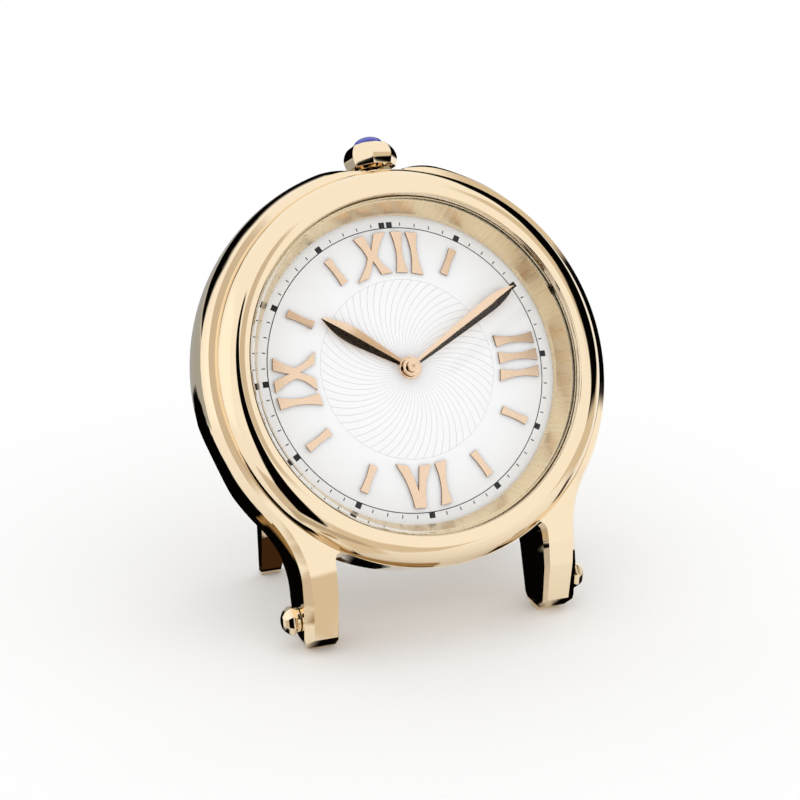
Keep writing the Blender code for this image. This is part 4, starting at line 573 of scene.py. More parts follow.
def ovalArc(middle, wide, tall, power, steps):
    # a quarter of a superellipse from its side to its top, for slopes that fall faster or slower than round
    points = []
    for i in range(steps + 1):
        angle = math.pi / 2 * i / steps
        points.append((middle[0] + wide * abs(math.cos(angle)) ** (2 / power),
                       middle[1] + tall * math.sin(angle) ** (2 / power)))
    return points


def makeBezel():
    b = bezel
    slope = ovalArc((b["crest"], b["high"] - b["dropOut"]), b["radius"] - b["crest"] + b["spare"],
                    b["dropOut"], b["powerOut"], 48)
    slope = [point for point in slope if point[1] > b["seat"]]
    roundTop = b["seat"] + b["footRound"]
    outer = arc((slope[0][0] - b["footRound"], roundTop), (b["footRound"],) * 2, -70, -8, 8)
    outer += [point for point in slope if point[1] > roundTop]
    inner = ovalArc((b["crest"], b["high"] - b["dropIn"]), b["inner"] - b["crest"], b["dropIn"],
                    b["powerIn"], 24)
    low = b["lip"] - b["lipEdge"]
    profile = outer + inner[::-1][1:] + [(b["inner"], low), (b["bore"], low), (b["bore"], b["skirt"]),
                                         (b["skirtRadius"], b["skirt"]), (b["skirtRadius"], b["seat"])]
    addPiece("bezelRing", lathe(profile, fineRound), roseGold, ["bezel"])


def makeCrystal():
    c = crystal
    profile = [(0, c["low"]), (c["radius"], c["low"]), (c["radius"], c["high"] - c["chamfer"]),
               (c["radius"] - c["chamfer"], c["high"]), (0, c["high"])]
    piece = addPiece("crystalDisc", lathe(profile, fineRound), sapphire, ["crystal"],
                     sharp=20)
    piece.visible_shadow = False
    piece.visible_diffuse = False


def makeFlange():
    f = flange
    rim = f["high"] + f["rim"]
    profile = [(f["low"], f["foot"]), (f["low"], f["wall"]), (f["high"], f["top"]), (rim, f["top"]),
               (rim, f["step"]), (f["outer"], f["step"]), (f["outer"], f["foot"])]
    addPiece("slopingRing", lathe(profile, fineRound), satinGold, ["flange_ring"],
             sharp=20)


def makeCrystalGasket():
    g = gasket
    high = bezel["lip"] - bezel["lipEdge"] - seatGap
    addPiece("crystalGasket", tube(g["inner"], g["outer"], high - g["tall"], high, fineRound), nitrile,
             ["crystal_gasket"], bevel=g["edge"])


makeBezel()
makeCrystal()
makeFlange()
makeCrystalGasket()
print("bezel, crystal and sloping ring made")

# dial: white disc, stamped rays in its middle, printed minute ring
dial = dict(radius=33.0, thick=0.6, hole=1.65, edge=0.05, middle=17.4, rays=60, rayFirst=4.15, rayWide=0.26,
            rayThin=0.35, rayHigh=0.03, rayStart=2.6, bend=1.84, bendMore=0.019, edgeWide=0.14, sink=0.01)
minutes = dict(line=27.6, lineWide=0.17, tickStart=28.0, tickEnd=28.66, tickWide=0.19, square=1.15,
               squareEnd=28.75, apart=0.78, ink=0.02, squareInk=0.025, sink=0.01)


def makeDial():
    d = dial
    addPiece("dialDisc", tube(d["hole"], d["radius"], -d["thick"], 0, 192), dialLacquer,
             ["dial"], bevel=d["edge"])
    # one ray: a low three-sided ridge that turns clockwise on its way out
    rings = []
    for i in range(25):
        share = i / 24
        radius = d["rayStart"] + (d["middle"] - d["rayStart"]) * share
        turn = Matrix.Rotation(-math.radians(d["bend"] * radius + d["bendMore"] * radius ** 2), 3, "Z")
        half = d["rayWide"] / 2 * (d["rayThin"] + (1 - d["rayThin"]) * share)
        corners = ((-half, radius, -d["sink"]), (half, radius, -d["sink"]), (0, radius, d["rayHigh"]))
        rings.append([turn @ Vector(corner) for corner in corners])
    # the rays and the middle's edge ring are painted grey for the shade along the stamped lines
    addPiece("dialRays", loft(rings), paintedShadeLacquer, sharp=5,
             repeat=around(d["rays"], d["rayFirst"], 360 / d["rays"]))
    half = d["edgeWide"] / 2
    edge = [(d["middle"] - half, -d["sink"]), (d["middle"] + half, -d["sink"]), (d["middle"], d["rayHigh"])]
    addPiece("dialMiddleEdge", lathe(edge), paintedShadeLacquer, sharp=5)


def makeMinuteRing():
    m = minutes
    half = m["lineWide"] / 2
    addPiece("minuteLine", tube(m["line"] - half, m["line"] + half, -m["sink"], m["ink"]), printInk)
    half = m["tickWide"] / 2
    tick = box((-half, m["tickStart"], -m["sink"]), (half, m["tickEnd"], m["ink"]))
    addPiece("minuteTicks", tick, printInk, repeat=around(60, 0, 6, leaveOut=5))
    half = m["square"] / 2
    spread = math.degrees(m["apart"] / m["squareEnd"])
    inner = m["squareEnd"] - m["square"]
    for name, spots in (("hourSquares", around(11, 30, 30)),
                        ("noonSquares", around(2, -spread, 2 * spread))):
        square = box((-half, inner, -m["sink"]), (half, m["squareEnd"], m["squareInk"]))
        addPiece(name, square, printInk, repeat=spots)


makeDial()
makeMinuteRing()
print("dial and print made")

# applied numerals and batons; a glyph is a row of runs, each from a corner up to the next run's corner,
# given across and outwards in shares of its height
glyphs = dict(
    x=([(-0.41, 1.0)], [(-0.14, 1.0), (-0.055, 0.77)], [(0.0, 0.61), (0.04, 0.76)], [(0.12, 1.0)],
       [(0.41, 1.0), (0.225, 0.7)], [(0.126, 0.47), (0.225, 0.25)], [(0.455, 0.0)],
       [(0.165, 0.0), (0.07, 0.22)], [(0.0, 0.36), (-0.065, 0.2)], [(-0.16, 0.0)],
       [(-0.455, 0.0), (-0.22, 0.26)], [(-0.126, 0.47), (-0.225, 0.7)]),
    v=([(-0.44, 0.0)], [(-0.15, 0.0), (-0.045, 0.3)], [(0.02, 0.6), (0.075, 0.3)], [(0.13, 0.0)],
       [(0.43, 0.0), (0.28, 0.3), (0.19, 0.6)], [(0.145, 1.0)],
       [(-0.135, 1.0), (-0.175, 0.7), (-0.27, 0.34)]))
# a sign is its node, its clock angle, 1 or -1 for upright or head down, its glyph and its middle
numerals = dict(inner=18.7, outer=26.7, waist=0.076, end=0.149, low=0.1, high=0.6, edge=0.05,
                signs=(("numeral_12_x", 0, 1, "x", -0.474), ("numeral_12_i_left", 0, 1, "i", 0.219),
                       ("numeral_12_i_right", 0, 1, "i", 0.596), ("numeral_3_i_upper", 90, 1, "i", -0.42),
                       ("numeral_3_i_middle", 90, 1, "i", 0.0), ("numeral_3_i_lower", 90, 1, "i", 0.42),
                       ("numeral_6_v", 180, -1, "v", -0.28), ("numeral_6_i", 180, -1, "i", 0.39),
                       ("numeral_9_i", 270, 1, "i", -0.49), ("numeral_9_x", 270, 1, "x", 0.18)))
batons = dict(inner=20.2, outer=25.6, waist=1.25, end=1.65)


def strokeShape(waist, end):
    # a waisted stroke, its half width against the share of its length
    edge = [(waist + (end - waist) * (i / 8 - 1) ** 2, i / 16) for i in range(17)]
    return edge + [(-half, out) for half, out in reversed(edge)]


def glyphShape(runs):
    shares = []
    for run, after in zip(runs, runs[1:] + runs[:1]):
        shares += smoothLine(run + after[:1], 6 if len(run) > 1 else 4)[:-1]
    return shares


def makeNumerals():
    n, b = numerals, batons
    tall = n["outer"] - n["inner"]
    for node, degrees, side, glyph, middle in n["signs"]:
        outline = []
        for across, out in strokeShape(n["waist"], n["end"]) if glyph == "i" else glyphShape(glyphs[glyph]):
            x = side * (across + middle) * tall
            low = math.sqrt(n["inner"] ** 2 - x ** 2)
            outline.append((x, low + out * (math.sqrt(n["outer"] ** 2 - x ** 2) - low)))
        shape = slab(outline, n["low"], n["high"])
        shape.transform(Matrix.Rotation(-math.radians(degrees), 4, "Z"))
        addPiece(node + "_bevelled", shape, markerGold, [node], sharp=35, bevel=n["edge"],
                 sides=paintedShadeSides)
    outline = [(x, b["inner"] + (b["outer"] - b["inner"]) * out)
               for x, out in strokeShape(b["waist"] / 2, b["end"] / 2)]
    addPiece("hourBatons", slab(outline, n["low"], n["high"]), markerGold,
             ["baton_%02d" % hour for hour in (1, 2, 4, 5, 7, 8, 10, 11)], sharp=35, bevel=n["edge"],
             repeat=around(12, 0, 30, leaveOut=3), sides=paintedShadeSides)


makeNumerals()
print("numerals and batons made")

# hands: leaves with a ridge down the middle, on round hubs
hands = dict(edge=0.12, ridge=0.4, hubEdge=0.08, leafStart=0.8)
hourHand = dict(length=19.5, wide=3.3, hub=2.2, bore=1.45, low=0.9, angle=305,
                shares=((0.0, 0.3), (0.06, 0.34), (0.2, 0.5), (0.4, 0.74), (0.57, 0.95), (0.68, 1.0),
                        (0.8, 0.84), (0.91, 0.46), (1.0, 0.03)))
minuteHand = dict(length=27.4, wide=2.75, hub=1.8, bore=0.75, low=1.77, angle=60,
                  shares=((0.0, 0.3), (0.04, 0.34), (0.22, 0.56), (0.41, 0.74), (0.57, 0.88), (0.76, 1.0),
                          (0.85, 0.9), (0.93, 0.58), (1.0, 0.03)))
handCap = dict(radius=1.12, low=2.59, high=3.0, edge=0.1, beadRadius=0.2, bead=0.17, grooveDeep=0.08,
               grooveIn=0.06, grooveOut=0.12, beadFoot=0.02)


def makeHand(name, hand, node, body):
    low, edge = hand["low"], hands["edge"]
    rings = []
    for along, wide in smoothLine(hand["shares"], 10):
        y = hand["length"] * along
        if y < hand["hub"] * hands["leafStart"]:
            continue
        half = hand["wide"] / 2 * wide
        ridge = hands["ridge"] * wide
        rings.append([(-half, y, low), (half, y, low), (half, y, low + edge), (0, y, low + edge + ridge),
                      (-half, y, low + edge)])
    leaf = loft(rings)
    mesh = bpy.data.meshes.new("leaf")
    leaf.to_mesh(mesh)
    leaf.free()
    high = low + edge + hands["ridge"]
    hub = lathe([(hand["bore"], low), (hand["hub"], low), (hand["hub"], high - hands["hubEdge"]),
                 (hand["hub"] - hands["hubEdge"], high), (hand["bore"], high)], 96)
    hub.from_mesh(mesh)
    hub.transform(Matrix.Rotation(-math.radians(hand["angle"]), 4, "Z"))
    addPiece(name, hub, handGold, [node], body=body, sharp=6)


def makeHandCap():
    # a flat disc with a bead in its middle, in a shallow groove
    h = handCap
    groove = h["high"] - h["grooveDeep"]
    profile = [(0, h["low"]), (h["radius"], h["low"])]
    profile += arc((h["radius"] - h["edge"], h["high"] - h["edge"]), (h["edge"], h["edge"]), 0, 90, 5)
    profile += [(h["beadRadius"] + h["grooveOut"], h["high"]), (h["beadRadius"] + h["grooveIn"], groove),
                (h["beadRadius"], groove)]
    profile += arc((0, h["high"] - h["beadFoot"]), (h["beadRadius"], h["bead"] - h["beadFoot"]), 0, 90, 6)
    addPiece("handCapDisc", lathe(profile, 96), handGold, ["hand_cap"], body="minute_group",
             sharp=25)


makeHand("hourHandLeaf", hourHand, "hour_hand", "hour_group")
makeHand("minuteHandLeaf", minuteHand, "minute_hand", "minute_group")
makeHandCap()
print("hands made")

# crown with eight barrel-shaped sides and a blue stone, and the two knobs on the legs
facets = dict(sides=8, points=48)
crown = dict(base=39.6, radius=5.3, height=5.1, turn=-12.5, collar=0.68, top=0.64, seat=1.0, edge=0.22,
             stemBore=0.6, stemDeep=2.7,
             shares=((0.09, 0.90), (0.27, 0.965), (0.45, 1.0), (0.6, 0.98), (0.74, 0.93), (0.86, 0.86),
                     (0.95, 0.77)))
stone = dict(radius=2.9, dome=1.7)
sleeve = dict(bore=1.2, radius=2.4, low=35.7, edge=0.1)
knob = dict(collar=2.3, collarHigh=0.5, radius=2.8, length=2.6, turn=10, shank=0.9, shankLong=3.4, edge=0.12,
            shares=((0.06, 0.86), (0.2, 0.955), (0.34, 1.0), (0.54, 0.92), (0.72, 0.8), (0.87, 0.63),
                    (1.0, 0.42)))


def facetRing(radius, height, turn, isRound=False):
    # a ring with flat sides, or a circle with its points at the same angles
    side = 360 / facets["sides"]
    step = 360 / facets["points"]
    ring = []
    for i in range(facets["points"]):
        across = math.radians((i * step) % side - side / 2)
        reach = radius if isRound else radius * math.cos(math.radians(side / 2)) / math.cos(across)
        angle = math.radians(turn + i * step)
        ring.append((reach * math.cos(angle), reach * math.sin(angle), height))
    return ring


def makeCrown():
    c = crown
    space = dialSpace @ rescale(crownSpace, mm)
    top = c["base"] + c["height"]
    rings = [facetRing(c["radius"] * c["collar"], c["base"], c["turn"], isRound=True)]
    rings += [facetRing(c["radius"] * share, c["base"] + c["height"] * along, c["turn"])
              for along, share in c["shares"]]
    rings.append(facetRing(c["radius"] * c["top"], top, c["turn"], isRound=True))
    cuts = [rod(stone["radius"] + seatGap, top - c["seat"], top + 1, 96),
            rod(c["stemBore"], c["base"] - 1, c["base"] + c["stemDeep"], 32)]
    addPiece("crownBarrel", loft(rings), roseGold, ["crown"], body="crown_group",
             space=space, sharp=24, bevel=c["edge"], segments=3, cuts=cuts)
    low = top - c["seat"] + seatGap
    profile = [(0, low), (stone["radius"], low)]
    profile += arc((0, top), (stone["radius"], stone["dome"]), 0, 90, 16)[:-1] + [(0, top + stone["dome"])]
    addPiece("crownStone", lathe(profile, 96), blueStone, ["crown_cabochon"],
             body="crown_group", space=space, sharp=40)
    addPiece("crownSleeve", tube(sleeve["bore"], sleeve["radius"], sleeve["low"], c["base"] - play, 64),
             roseGold, ["crown_tube"], space=space, bevel=sleeve["edge"])


def makeKnobs():
    k = knob
    base = case["legOuter"] + seatGap
    collarHigh = base + k["collarHigh"]
    for side, space in capSpaces.items():
        rings = [facetRing(k["collar"], base, k["turn"], isRound=True),
                 facetRing(k["collar"], collarHigh, k["turn"], isRound=True)]
        rings += [facetRing(k["radius"] * share, collarHigh + k["length"] * along, k["turn"])
                  for along, share in k["shares"]]
        addPiece("legKnob" + side.capitalize(), loft(rings), roseGold,
                 ["leg_cap_" + side], space=dialSpace @ rescale(space, mm), sharp=24, bevel=k["edge"],
                 segments=3, joins=[rod(k["shank"], case["legOuter"] - k["shankLong"], collarHigh, 32)])


makeCrown()
makeKnobs()
print("crown and knobs made")

# back cover with its gasket, the hinge and the stand
cover = dict(outer=-9.86, inner=-8.56, seat=-8.26, rim=36.9, chamfer=0.5, boss=30.3, bossHigh=-6.96,
             bossWall=1.0, edge=0.08)
backSeal = dict(inner=31.3, outer=32.0, low=-7.9, high=-6.6, edge=0.1)
hinge = dict(up=12.8, low=-12.4, barrel=1.4, long=15.4, pin=0.6, pinEdge=0.15, ear=2.0, earRadius=2.2,
             plateHigh=-9.96, plateLow=-10.46, rise=9.0, screwsApart=12.0, edge=0.15)
stand = dict(splay=3.1, thick=3.2, footThick=1.7, taper=12.0, wide=50.4, footWide=4.2, flare=13,
             neckDrop=2.6, shoulderDrop=20.0, archDrop=7.8, stopRise=3.0, stopThick=2.4, edge=0.3)


def bracketPlaces():
    # the two screws through the hinge's plate, left and right
    up = hinge["up"] + hinge["earRadius"] + (hinge["rise"] - hinge["earRadius"]) / 2
    return [Matrix.Translation((side * hinge["screwsApart"] / 2, up, 0)) for side in (-1, 1)]


def makeScrew(name, nodes, headHigh, tip, place, repeat=None):
    # a round-edged head with a slot, looking to the back
    s = screw
    low = headHigh - s["headHigh"]
    profile = [(0, low)] + arc((s["head"] - s["headRound"], low + s["headRound"]), (s["headRound"],) * 2,
                               -90, 0, 4)
    profile += [(s["head"], headHigh), (s["shank"], headHigh), (s["shank"], tip), (0, tip)]
    shape = lathe(profile, 40)
    slot = box((-s["slotReach"], -s["slotWide"] / 2, low - 1),
               (s["slotReach"], s["slotWide"] / 2, low + s["slotDeep"]))
    shape.transform(place)
    slot.transform(place)
    addPiece(name, shape, groundSteel, nodes, sharp=25, cuts=[slot], repeat=repeat)


def makeBack():
    v, s, g = cover, screw, backSeal
    boss = v["boss"] - v["bossWall"]
    profile = [(0, v["outer"]), (v["rim"] - v["chamfer"], v["outer"]), (v["rim"], v["outer"] + v["chamfer"]),
               (v["rim"], v["seat"]), (v["boss"], v["seat"]), (v["boss"], v["bossHigh"]),
               (boss, v["bossHigh"]), (boss, v["inner"]), (0, v["inner"])]
    cuts = [rod(s["bore"], v["outer"] - 1, v["seat"] + 1, 32, place=place) for place in screwPlaces()]
    addPiece("backCoverDisc", lathe(profile), roseGold, ["back_cover"], sharp=25,
             bevel=v["edge"], cuts=cuts)
    addPiece("backGasket", tube(g["inner"], g["outer"], g["low"], g["high"], 192), nitrile,
             ["back_gasket"], bevel=g["edge"])
    makeScrew("coverScrews", ["cover_screw_%d" % (i + 1) for i in range(s["count"])], v["outer"] - seatGap,
              s["coverTip"], Matrix.Translation((0, s["circle"], 0)),
              repeat=around(s["count"], s["first"], 360 / s["count"]))
    for side, place in zip(("left", "right"), bracketPlaces()):
        makeScrew("bracketScrew" + side.capitalize(), ["bracket_screw_" + side], hinge["plateLow"] - seatGap,
                  v["outer"] + s["bracketBite"], place)


def makeHinge():
    g = hinge
    inner = g["long"] / 2 + play
    outer = inner + g["ear"]
    below = g["up"] - g["earRadius"]
    across = Matrix.Translation((0, g["up"], g["low"])) @ Matrix.Rotation(math.pi / 2, 4, "Y")
    plate = box((-outer, below, g["plateLow"]), (outer, g["up"] + g["rise"], g["plateHigh"]))
    joins = []
    for low, high in ((-outer, -inner), (inner, outer)):
        joins.append(rod(g["earRadius"], low, high, 64, place=across))
        joins.append(box((low, below, g["low"]), (high, g["up"] + g["earRadius"], g["plateHigh"])))
    cuts = [rod(g["pin"] + play, -outer - 1, outer + 1, place=across)]
    cuts += [rod(screw["bore"], g["plateLow"] - 1, g["plateHigh"] + 1, 32, place=place)
             for place in bracketPlaces()]
    addPiece("hingePlate", plate, roseGold, ["hinge_bracket"], bevel=g["edge"],
             joins=joins, cuts=cuts)
    pin = lathe([(0, -outer), (g["pin"] - g["pinEdge"], -outer), (g["pin"], -outer + g["pinEdge"]),
                 (g["pin"], outer - g["pinEdge"]), (g["pin"] - g["pinEdge"], outer), (0, outer)], 48)
    pin.transform(across)
    addPiece("hingePin", pin, groundSteel, ["hinge_pin"], sharp=25)


def standOutline(length, spare):
    # neck, rounded shoulders and two feet, with an arch that is round at its top and flares down to the feet
    t = stand
    neck, outer = hinge["long"] / 2, t["wide"] / 2
    half = [(neck, 0)]
    for i in range(25):
        angle = math.pi / 2 * i / 24
        half.append((neck + (outer - neck) * math.sin(angle),
                     -t["neckDrop"] - (t["shoulderDrop"] - t["neckDrop"]) * (1 - math.cos(angle))))
    flare = math.radians(t["flare"])
    footInner = outer - t["footWide"]
    half += [(outer, -spare), (footInner + (spare - length) * math.tan(flare), -spare)]
    edgeAtTop = footInner - (length - t["archDrop"]) * math.tan(flare)
    arch = edgeAtTop * math.cos(flare) / (1 - math.sin(flare))
    half += arc((0, -t["archDrop"] - arch), (arch, arch), t["flare"], 90, 40)
    return half + [(-x, z) for x, z in reversed(half[:-1])]


def makeStand():
    # made in a space at the hinge, upright along the plate, and cut off at the table
    t, g = stand, hinge
    hingeAt = dialSpace @ (Vector((0, g["up"], g["low"])) * mm)
    space = Matrix.Translation(hingeAt) @ Matrix.Rotation(math.radians(t["splay"]), 4, "X")
    toLocal = rescale(space.inverted(), 1 / mm)
    length = hingeAt.z / mm / math.cos(math.radians(t["splay"]))
    plate = slab(standOutline(length, length + t["thick"]), -t["thick"] / 2, t["thick"] / 2)
    bmesh.ops.triangulate(plate, faces=[face for face in plate.faces if len(face.verts) > 4])
    plate.transform(Matrix.Rotation(math.pi / 2, 4, "X"))
    cutBelow(plate, toLocal @ Vector((0, 0, 0)), toLocal.to_3x3() @ Vector((0, 0, -1)))
    taper = math.atan((t["thick"] - t["footThick"]) / t["taper"])
    cutBelow(plate, Vector((0, t["footThick"] - t["thick"] / 2, -length)),
             Vector((0, math.cos(taper), -math.sin(taper))))
    neck = g["long"] / 2
    stopHigh = g["plateLow"] - seatGap
    stop = box((-neck, g["up"], stopHigh - t["stopThick"]), (neck, g["up"] + t["stopRise"], stopHigh))
    stop.transform(toLocal @ rescale(dialSpace, 1 / mm))
    across = Matrix.Rotation(math.pi / 2, 4, "Y")
    addPiece("standPlate", plate, roseGold, ["back_stand"], body="stand_group",
             space=space, bevel=t["edge"], segments=3,
             joins=[rod(g["barrel"], -neck, neck, 64, place=across), stop],
             cuts=[rod(g["pin"] + play, -neck - 1, neck + 1, place=across)])


makeBack()
makeHinge()
makeStand()
print("back, hinge and stand made")

# what stays as the frame has it gets its own finish
nodeLooks = dict(crystal=sapphire, crystal_gasket=nitrile, back_gasket=nitrile, flange_ring=satinGold,
                 dial=dialLacquer, coil=copperWinding, battery=nickelCan, circuit_board=solderMask,
                 movement_holder=acetal, crown_cabochon=blueStone)
slotLooks = dict(polished_rose_gold=roseGold, applied_gold=markerGold, movement_brass=cutBrass,
                 steel=groundSteel)
slots = {part["node"]: part["material_slot"] for part in frame["record"]["subparts"]}
for name, node in frame["nodes"].items():
    node.data.materials.clear()
    node.data.materials.append(nodeLooks.get(name) or slotLooks[slots[name]])
print("movement finished")


def makeFloor():
    # a pale matt table, which keeps the clock's soft shadow
    bm = bmesh.new()
    bmesh.ops.create_grid(bm, x_segments=1, y_segments=1, size=3.0)
    floor = newObject("floor", bm)
    material, _, _ = newMaterial("paleTable", **{"Base Color": toLinear("#FCFCFC"), "Roughness": 0.8,
                                                 "Specular IOR Level": 0.0})
    floor.data.materials.append(material)


# painted reflections: cards in the white tent round the clock, which only metal and glass mirror, give the metal
# its dark, brown, tan and bright bands;
# corners are (bearing, height) in degrees seen from the dial's centre, with 0 towards the front and bearings
# growing to the right; a later card lies nearer by "apart" and covers the earlier ones
tent = dict(radius=120.0, lift=0.4, apart=0.2, step=2.5, level=1.04)
cardColours = dict(black=("#050403", 1), brown=("#9A7C50", 1), darkBrown=("#3D2817", 1),
                   tan=("#DED3C2", 1), deepTan=("#D6CBBE", 1), darkTan=("#BFB4A4", 1), grey=("#ACB0B3", 1),
                   white=("#FFFFFF", tent["level"]), bright=("#FFFFFF", 1.15))
cards = (
    dict(name="fringeTan", colour="tan", soft=6,
         corners=((33, 24), (34, 48), (44, 58), (66, 54), (66, 40), (44, 26))),
    dict(name="leftBand", colour="black", soft=1.8,
         corners=((-70, -29), (-62, -24), (-57, 0), (-56.5, 28), (-62, 51), (-44, 50), (-34, 42),
                  (-21, 38), (-16, 29), (-20, 20), (-25, 10), (-28, -10), (-30, -24), (-35, -33),
                  (-40, -37), (-60, -37), (-70, -33))),
    dict(name="footLine", colour="black", soft=1,
         corners=((-60, -55), (-46, -55.5), (-44, -61), (-58, -62))),
    dict(name="rightBand", colour="black", soft=2.5,
         corners=((42, 21), (41, 31), (47, 36), (56, 41), (70, 44), (90, 47), (120, 50), (140, 44),
                  (158, 36), (158, 20), (140, 10), (124, 13), (108, 8), (100, -2), (92, -7), (85, -10),
                  (68, -8), (54, 2), (47, 12))),
    dict(name="rightLine", colour="darkBrown", soft=4,
         corners=((71, -27), (86, -27), (85, -42), (72, -44))),
    dict(name="rightFoot", colour="black", soft=1,
         corners=((52, -57), (55, -50), (66, -44), (90, -40), (93, -46), (74, -50), (64, -56), (58, -61))),
    dict(name="rearBand", colour="black", soft=3,
         corners=((-215, 11), (-215, 35), (-180, 37), (-152, 36), (-134, 29), (-124, 18), (-117, 6),
                  (-135, 7), (-155, 11), (-180, 14))),
    dict(name="sideGrey", colour="grey", soft=2,
         corners=((-215, -15), (-215, 13), (-180, 16), (-155, 13), (-135, 9), (-119, 8), (-111, -4),
                  (-104, -17), (-118, -18), (-128, -14), (-150, -20), (-165, -23))),
    dict(name="lowSide", colour="black", soft=1,
         corners=((-190, -26), (-165, -22), (-150, -16), (-132, -9), (-120, -12), (-108, -22),
                  (-101, -25.5), (-97.5, -30), (-93.5, -34), (-89.5, -37), (-85.5, -40), (-87, -50),
                  (-62, -50), (-58, -61), (-90, -65), (-110, -66), (-190, -66))),
    dict(name="legStrip", colour="brown", soft=0.8,
         corners=((-104, -44.5), (-92, -42), (-85, -41), (-85, -44.5), (-95, -46.5), (-104, -48))),
    dict(name="legSideTan", colour="deepTan", soft=2,
         corners=((-83, -22), (-60, -22), (-56, -40), (-74, -40), (-80, -32))),
    dict(name="underLeft", colour="black", soft=1.5,
         corners=((-126, -72.5), (-96, -71.5), (-88, -77), (-96, -85), (-126, -86), (-134, -78))),
    dict(name="underRight", colour="black", soft=1.5,
         corners=((47, -57), (62, -60), (100, -65), (150, -62), (174, -63), (171, -75), (100, -81),
                  (70, -78), (54, -68))),
    dict(name="frontBrown", colour="brown", soft=2.5,
         corners=((-66, -58), (-48, -59), (-30, -61), (8, -63), (10, -70), (-30, -72), (-66, -70))),
    dict(name="frontDark", colour="darkBrown", soft=2.5,
         corners=((-66, -67), (-30, -68.5), (8, -68), (8, -80), (-30, -82), (-66, -80))),
    dict(name="rightTan", colour="tan", soft=7,
         corners=((36, 14), (60, 8), (80, -2), (94, 0), (98, -22), (84, -30), (70, -30), (56, -18),
                  (40, -10))),
    dict(name="frontTan", colour="tan", soft=6,
         corners=((-32, -20), (-14, -14), (-2, -8), (6, 4), (28, 0), (14, -34), (-6, -46), (-34, -50),
                  (-62, -48), (-66, -36), (-40, -34))),
    dict(name="legTan", colour="tan", soft=5,
         corners=((-50, -44), (-20, -42), (-18, -54), (-46, -60))),
    dict(name="bandTan", colour="darkTan", soft=1.5,
         corners=((-72, -37), (-24, -37), (-20, -46), (-44, -46), (-48, -44), (-60, -44.5), (-72, -46))),
    dict(name="lowBrown", colour="brown", soft=1.5,
         corners=((-61, -44.5), (-47, -44.5), (-45, -47), (-48, -49), (-58, -48))),
    dict(name="middleTan", colour="deepTan", soft=5,
         corners=((-17, 17), (-15, 54), (2, 58), (13, 50), (15, 34), (13, 24), (0, 19))),
    dict(name="standCard", colour="darkBrown", soft=1,
         corners=((-99, -60), (-128, -54), (-150, -63), (-109, -75))),
    dict(name="leftBright", colour="bright", soft=9,
         corners=((-126, 30), (-114, 0), (-106, -16), (-84, -16), (-76, 10), (-80, 38), (-106, 38))),
    dict(name="innerLight", colour="white", soft=1.5, reach=50,
         corners=((-26, 10), (0, 6), (56, 6), (57, 20), (60, 44), (-26, 44))))
# black strips just over the crystal, beside the hands, seen only in reflections: painted reflections, the dark
# that the hands' lower facets mirror; along a hand's clock angle and across it, in mm
strips = (dict(name="hourStrip", angle=305, high=7.9, along=(-0.3, 20.2), across=(-3.0, -0.35)),
          dict(name="minuteStrip", angle=60, high=7.9, along=(4.4, 32.2), across=(3.9, 5.9)))


def makeCardPaint(name, colour, strength):
    # an even glow that thins out to nothing where the card's "cover" falls to 0
    material = bpy.data.materials.new(name)
    material.use_nodes = True
    material.cycles.emission_sampling = "NONE"
    tree = material.node_tree
    tree.nodes.clear()
    glow = addNode(tree, "ShaderNodeEmission", {"Color": toLinear(colour), "Strength": strength})
    clear = addNode(tree, "ShaderNodeBsdfTransparent")
    edge = addNode(tree, "ShaderNodeAttribute", attribute_name="cover")
    smooth = addNode(tree, "ShaderNodeMapRange", links={"Value": edge.outputs["Fac"]},
                     interpolation_type="SMOOTHSTEP")
    both = addNode(tree, "ShaderNodeMixShader", links={0: smooth.outputs["Result"], 1: clear.outputs[0],
                                                       2: glow.outputs[0]})
    addNode(tree, "ShaderNodeOutputMaterial", links={"Surface": both.outputs[0]})
    return material


cardPaints = {name: makeCardPaint("card" + name[0].upper() + name[1:], *look)
              for name, look in cardColours.items()}


def placeCard(name, bm, paint):
    piece = newObject("card." + name, bm)
    piece.data.materials.append(paint)
    # painted reflections: only mirroring and refracting rays see these sheets
    piece.visible_camera = False
    piece.visible_diffuse = False
    piece.visible_shadow = False


def nearEdge(point, corners):
    # how many degrees a place lies from the card's nearest edge
    least = 1e9
    for a, b in zip(corners, corners[1:] + corners[:1]):
        a, b = Vector(a), Vector(b)
        along = max(0.0, min(1.0, (point - a).dot(b - a) / (b - a).length_squared))
        least = min(least, (point - a - along * (b - a)).length)
    return least


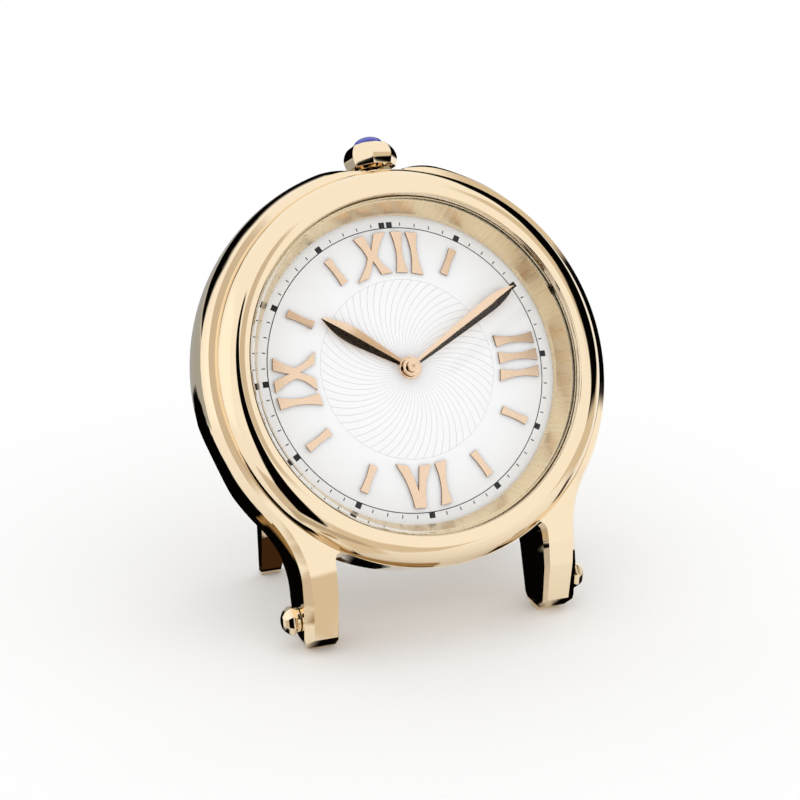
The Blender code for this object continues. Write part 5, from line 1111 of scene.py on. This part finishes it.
def cardSheet(corners, crease):
    # the card as a flat sheet in degrees, cut into a grid and at the height where the wall meets the table
    bm = bmesh.new()
    bm.faces.new([bm.verts.new((bearing, height, 0)) for bearing, height in corners])
    bmesh.ops.triangulate(bm, faces=bm.faces)
    step = tent["step"]
    for axis in (Vector((1, 0, 0)), Vector((0, 1, 0))):
        reaches = [vert.co.dot(axis) for vert in bm.verts]
        place = math.ceil(min(reaches) / step) * step
        cuts = [crease] if axis.y else []
        while place < max(reaches):
            cuts.append(place)
            place += step
        for place in cuts:
            bmesh.ops.bisect_plane(bm, geom=bm.verts[:] + bm.edges[:] + bm.faces[:], plane_co=axis * place,
                                   plane_no=axis)
    return bm


def makeCards():
    # each card is bent onto the tent's round wall, or lies on the table where that wall would be under it
    centre = dialCentre / mm
    for number, card in enumerate(cards):
        radius = card.get("reach", tent["radius"]) - tent["apart"] * number
        lift = tent["lift"] * (1 + 0.1 * number)
        crease = -math.degrees(math.asin((centre.z - lift) / radius)) if radius > centre.z else -90.0
        bm = cardSheet(card["corners"], crease)
        cover = bm.verts.layers.float.new("cover")
        for vert in bm.verts:
            vert[cover] = min(1.0, nearEdge(vert.co.to_2d(), card["corners"]) / card["soft"])
            bearing, height = math.radians(vert.co.x), math.radians(vert.co.y)
            ray = Vector((math.sin(bearing) * math.cos(height), -math.cos(bearing) * math.cos(height),
                          math.sin(height)))
            reach = radius
            if centre.z + ray.z * reach < lift:
                reach = (centre.z - lift) / -ray.z
            vert.co = (centre + ray * reach) * mm
        placeCard(card["name"], bm, cardPaints[card["colour"]])


def makeStrips():
    # the strips are flat, and black right up to their edges
    for strip in strips:
        (left, right), (near, far) = strip["across"], strip["along"]
        bm = bmesh.new()
        bm.faces.new([bm.verts.new((x, y, strip["high"]))
                      for x, y in ((left, near), (right, near), (right, far), (left, far))])
        cover = bm.verts.layers.float.new("cover")
        for vert in bm.verts:
            vert[cover] = 1.0
        turn = Matrix.Rotation(-math.radians(strip["angle"]), 4, "Z")
        bm.transform(dialSpace @ Matrix.Scale(mm, 4) @ turn)
        placeCard(strip["name"], bm, cardPaints["black"])


def makeWorld():
    # a white room, as bright all round as the tent's white cards
    world = bpy.data.worlds.new("studio")
    bpy.context.scene.world = world
    world.use_nodes = True
    tree = world.node_tree
    tree.nodes.clear()
    background = addNode(tree, "ShaderNodeBackground", {"Color": (1, 1, 1, 1), "Strength": tent["level"]})
    addNode(tree, "ShaderNodeOutputWorld", links={"Surface": background.outputs["Background"]})


makeFloor()
makeCards()
makeStrips()
makeWorld()
print("floor, cards and light made")
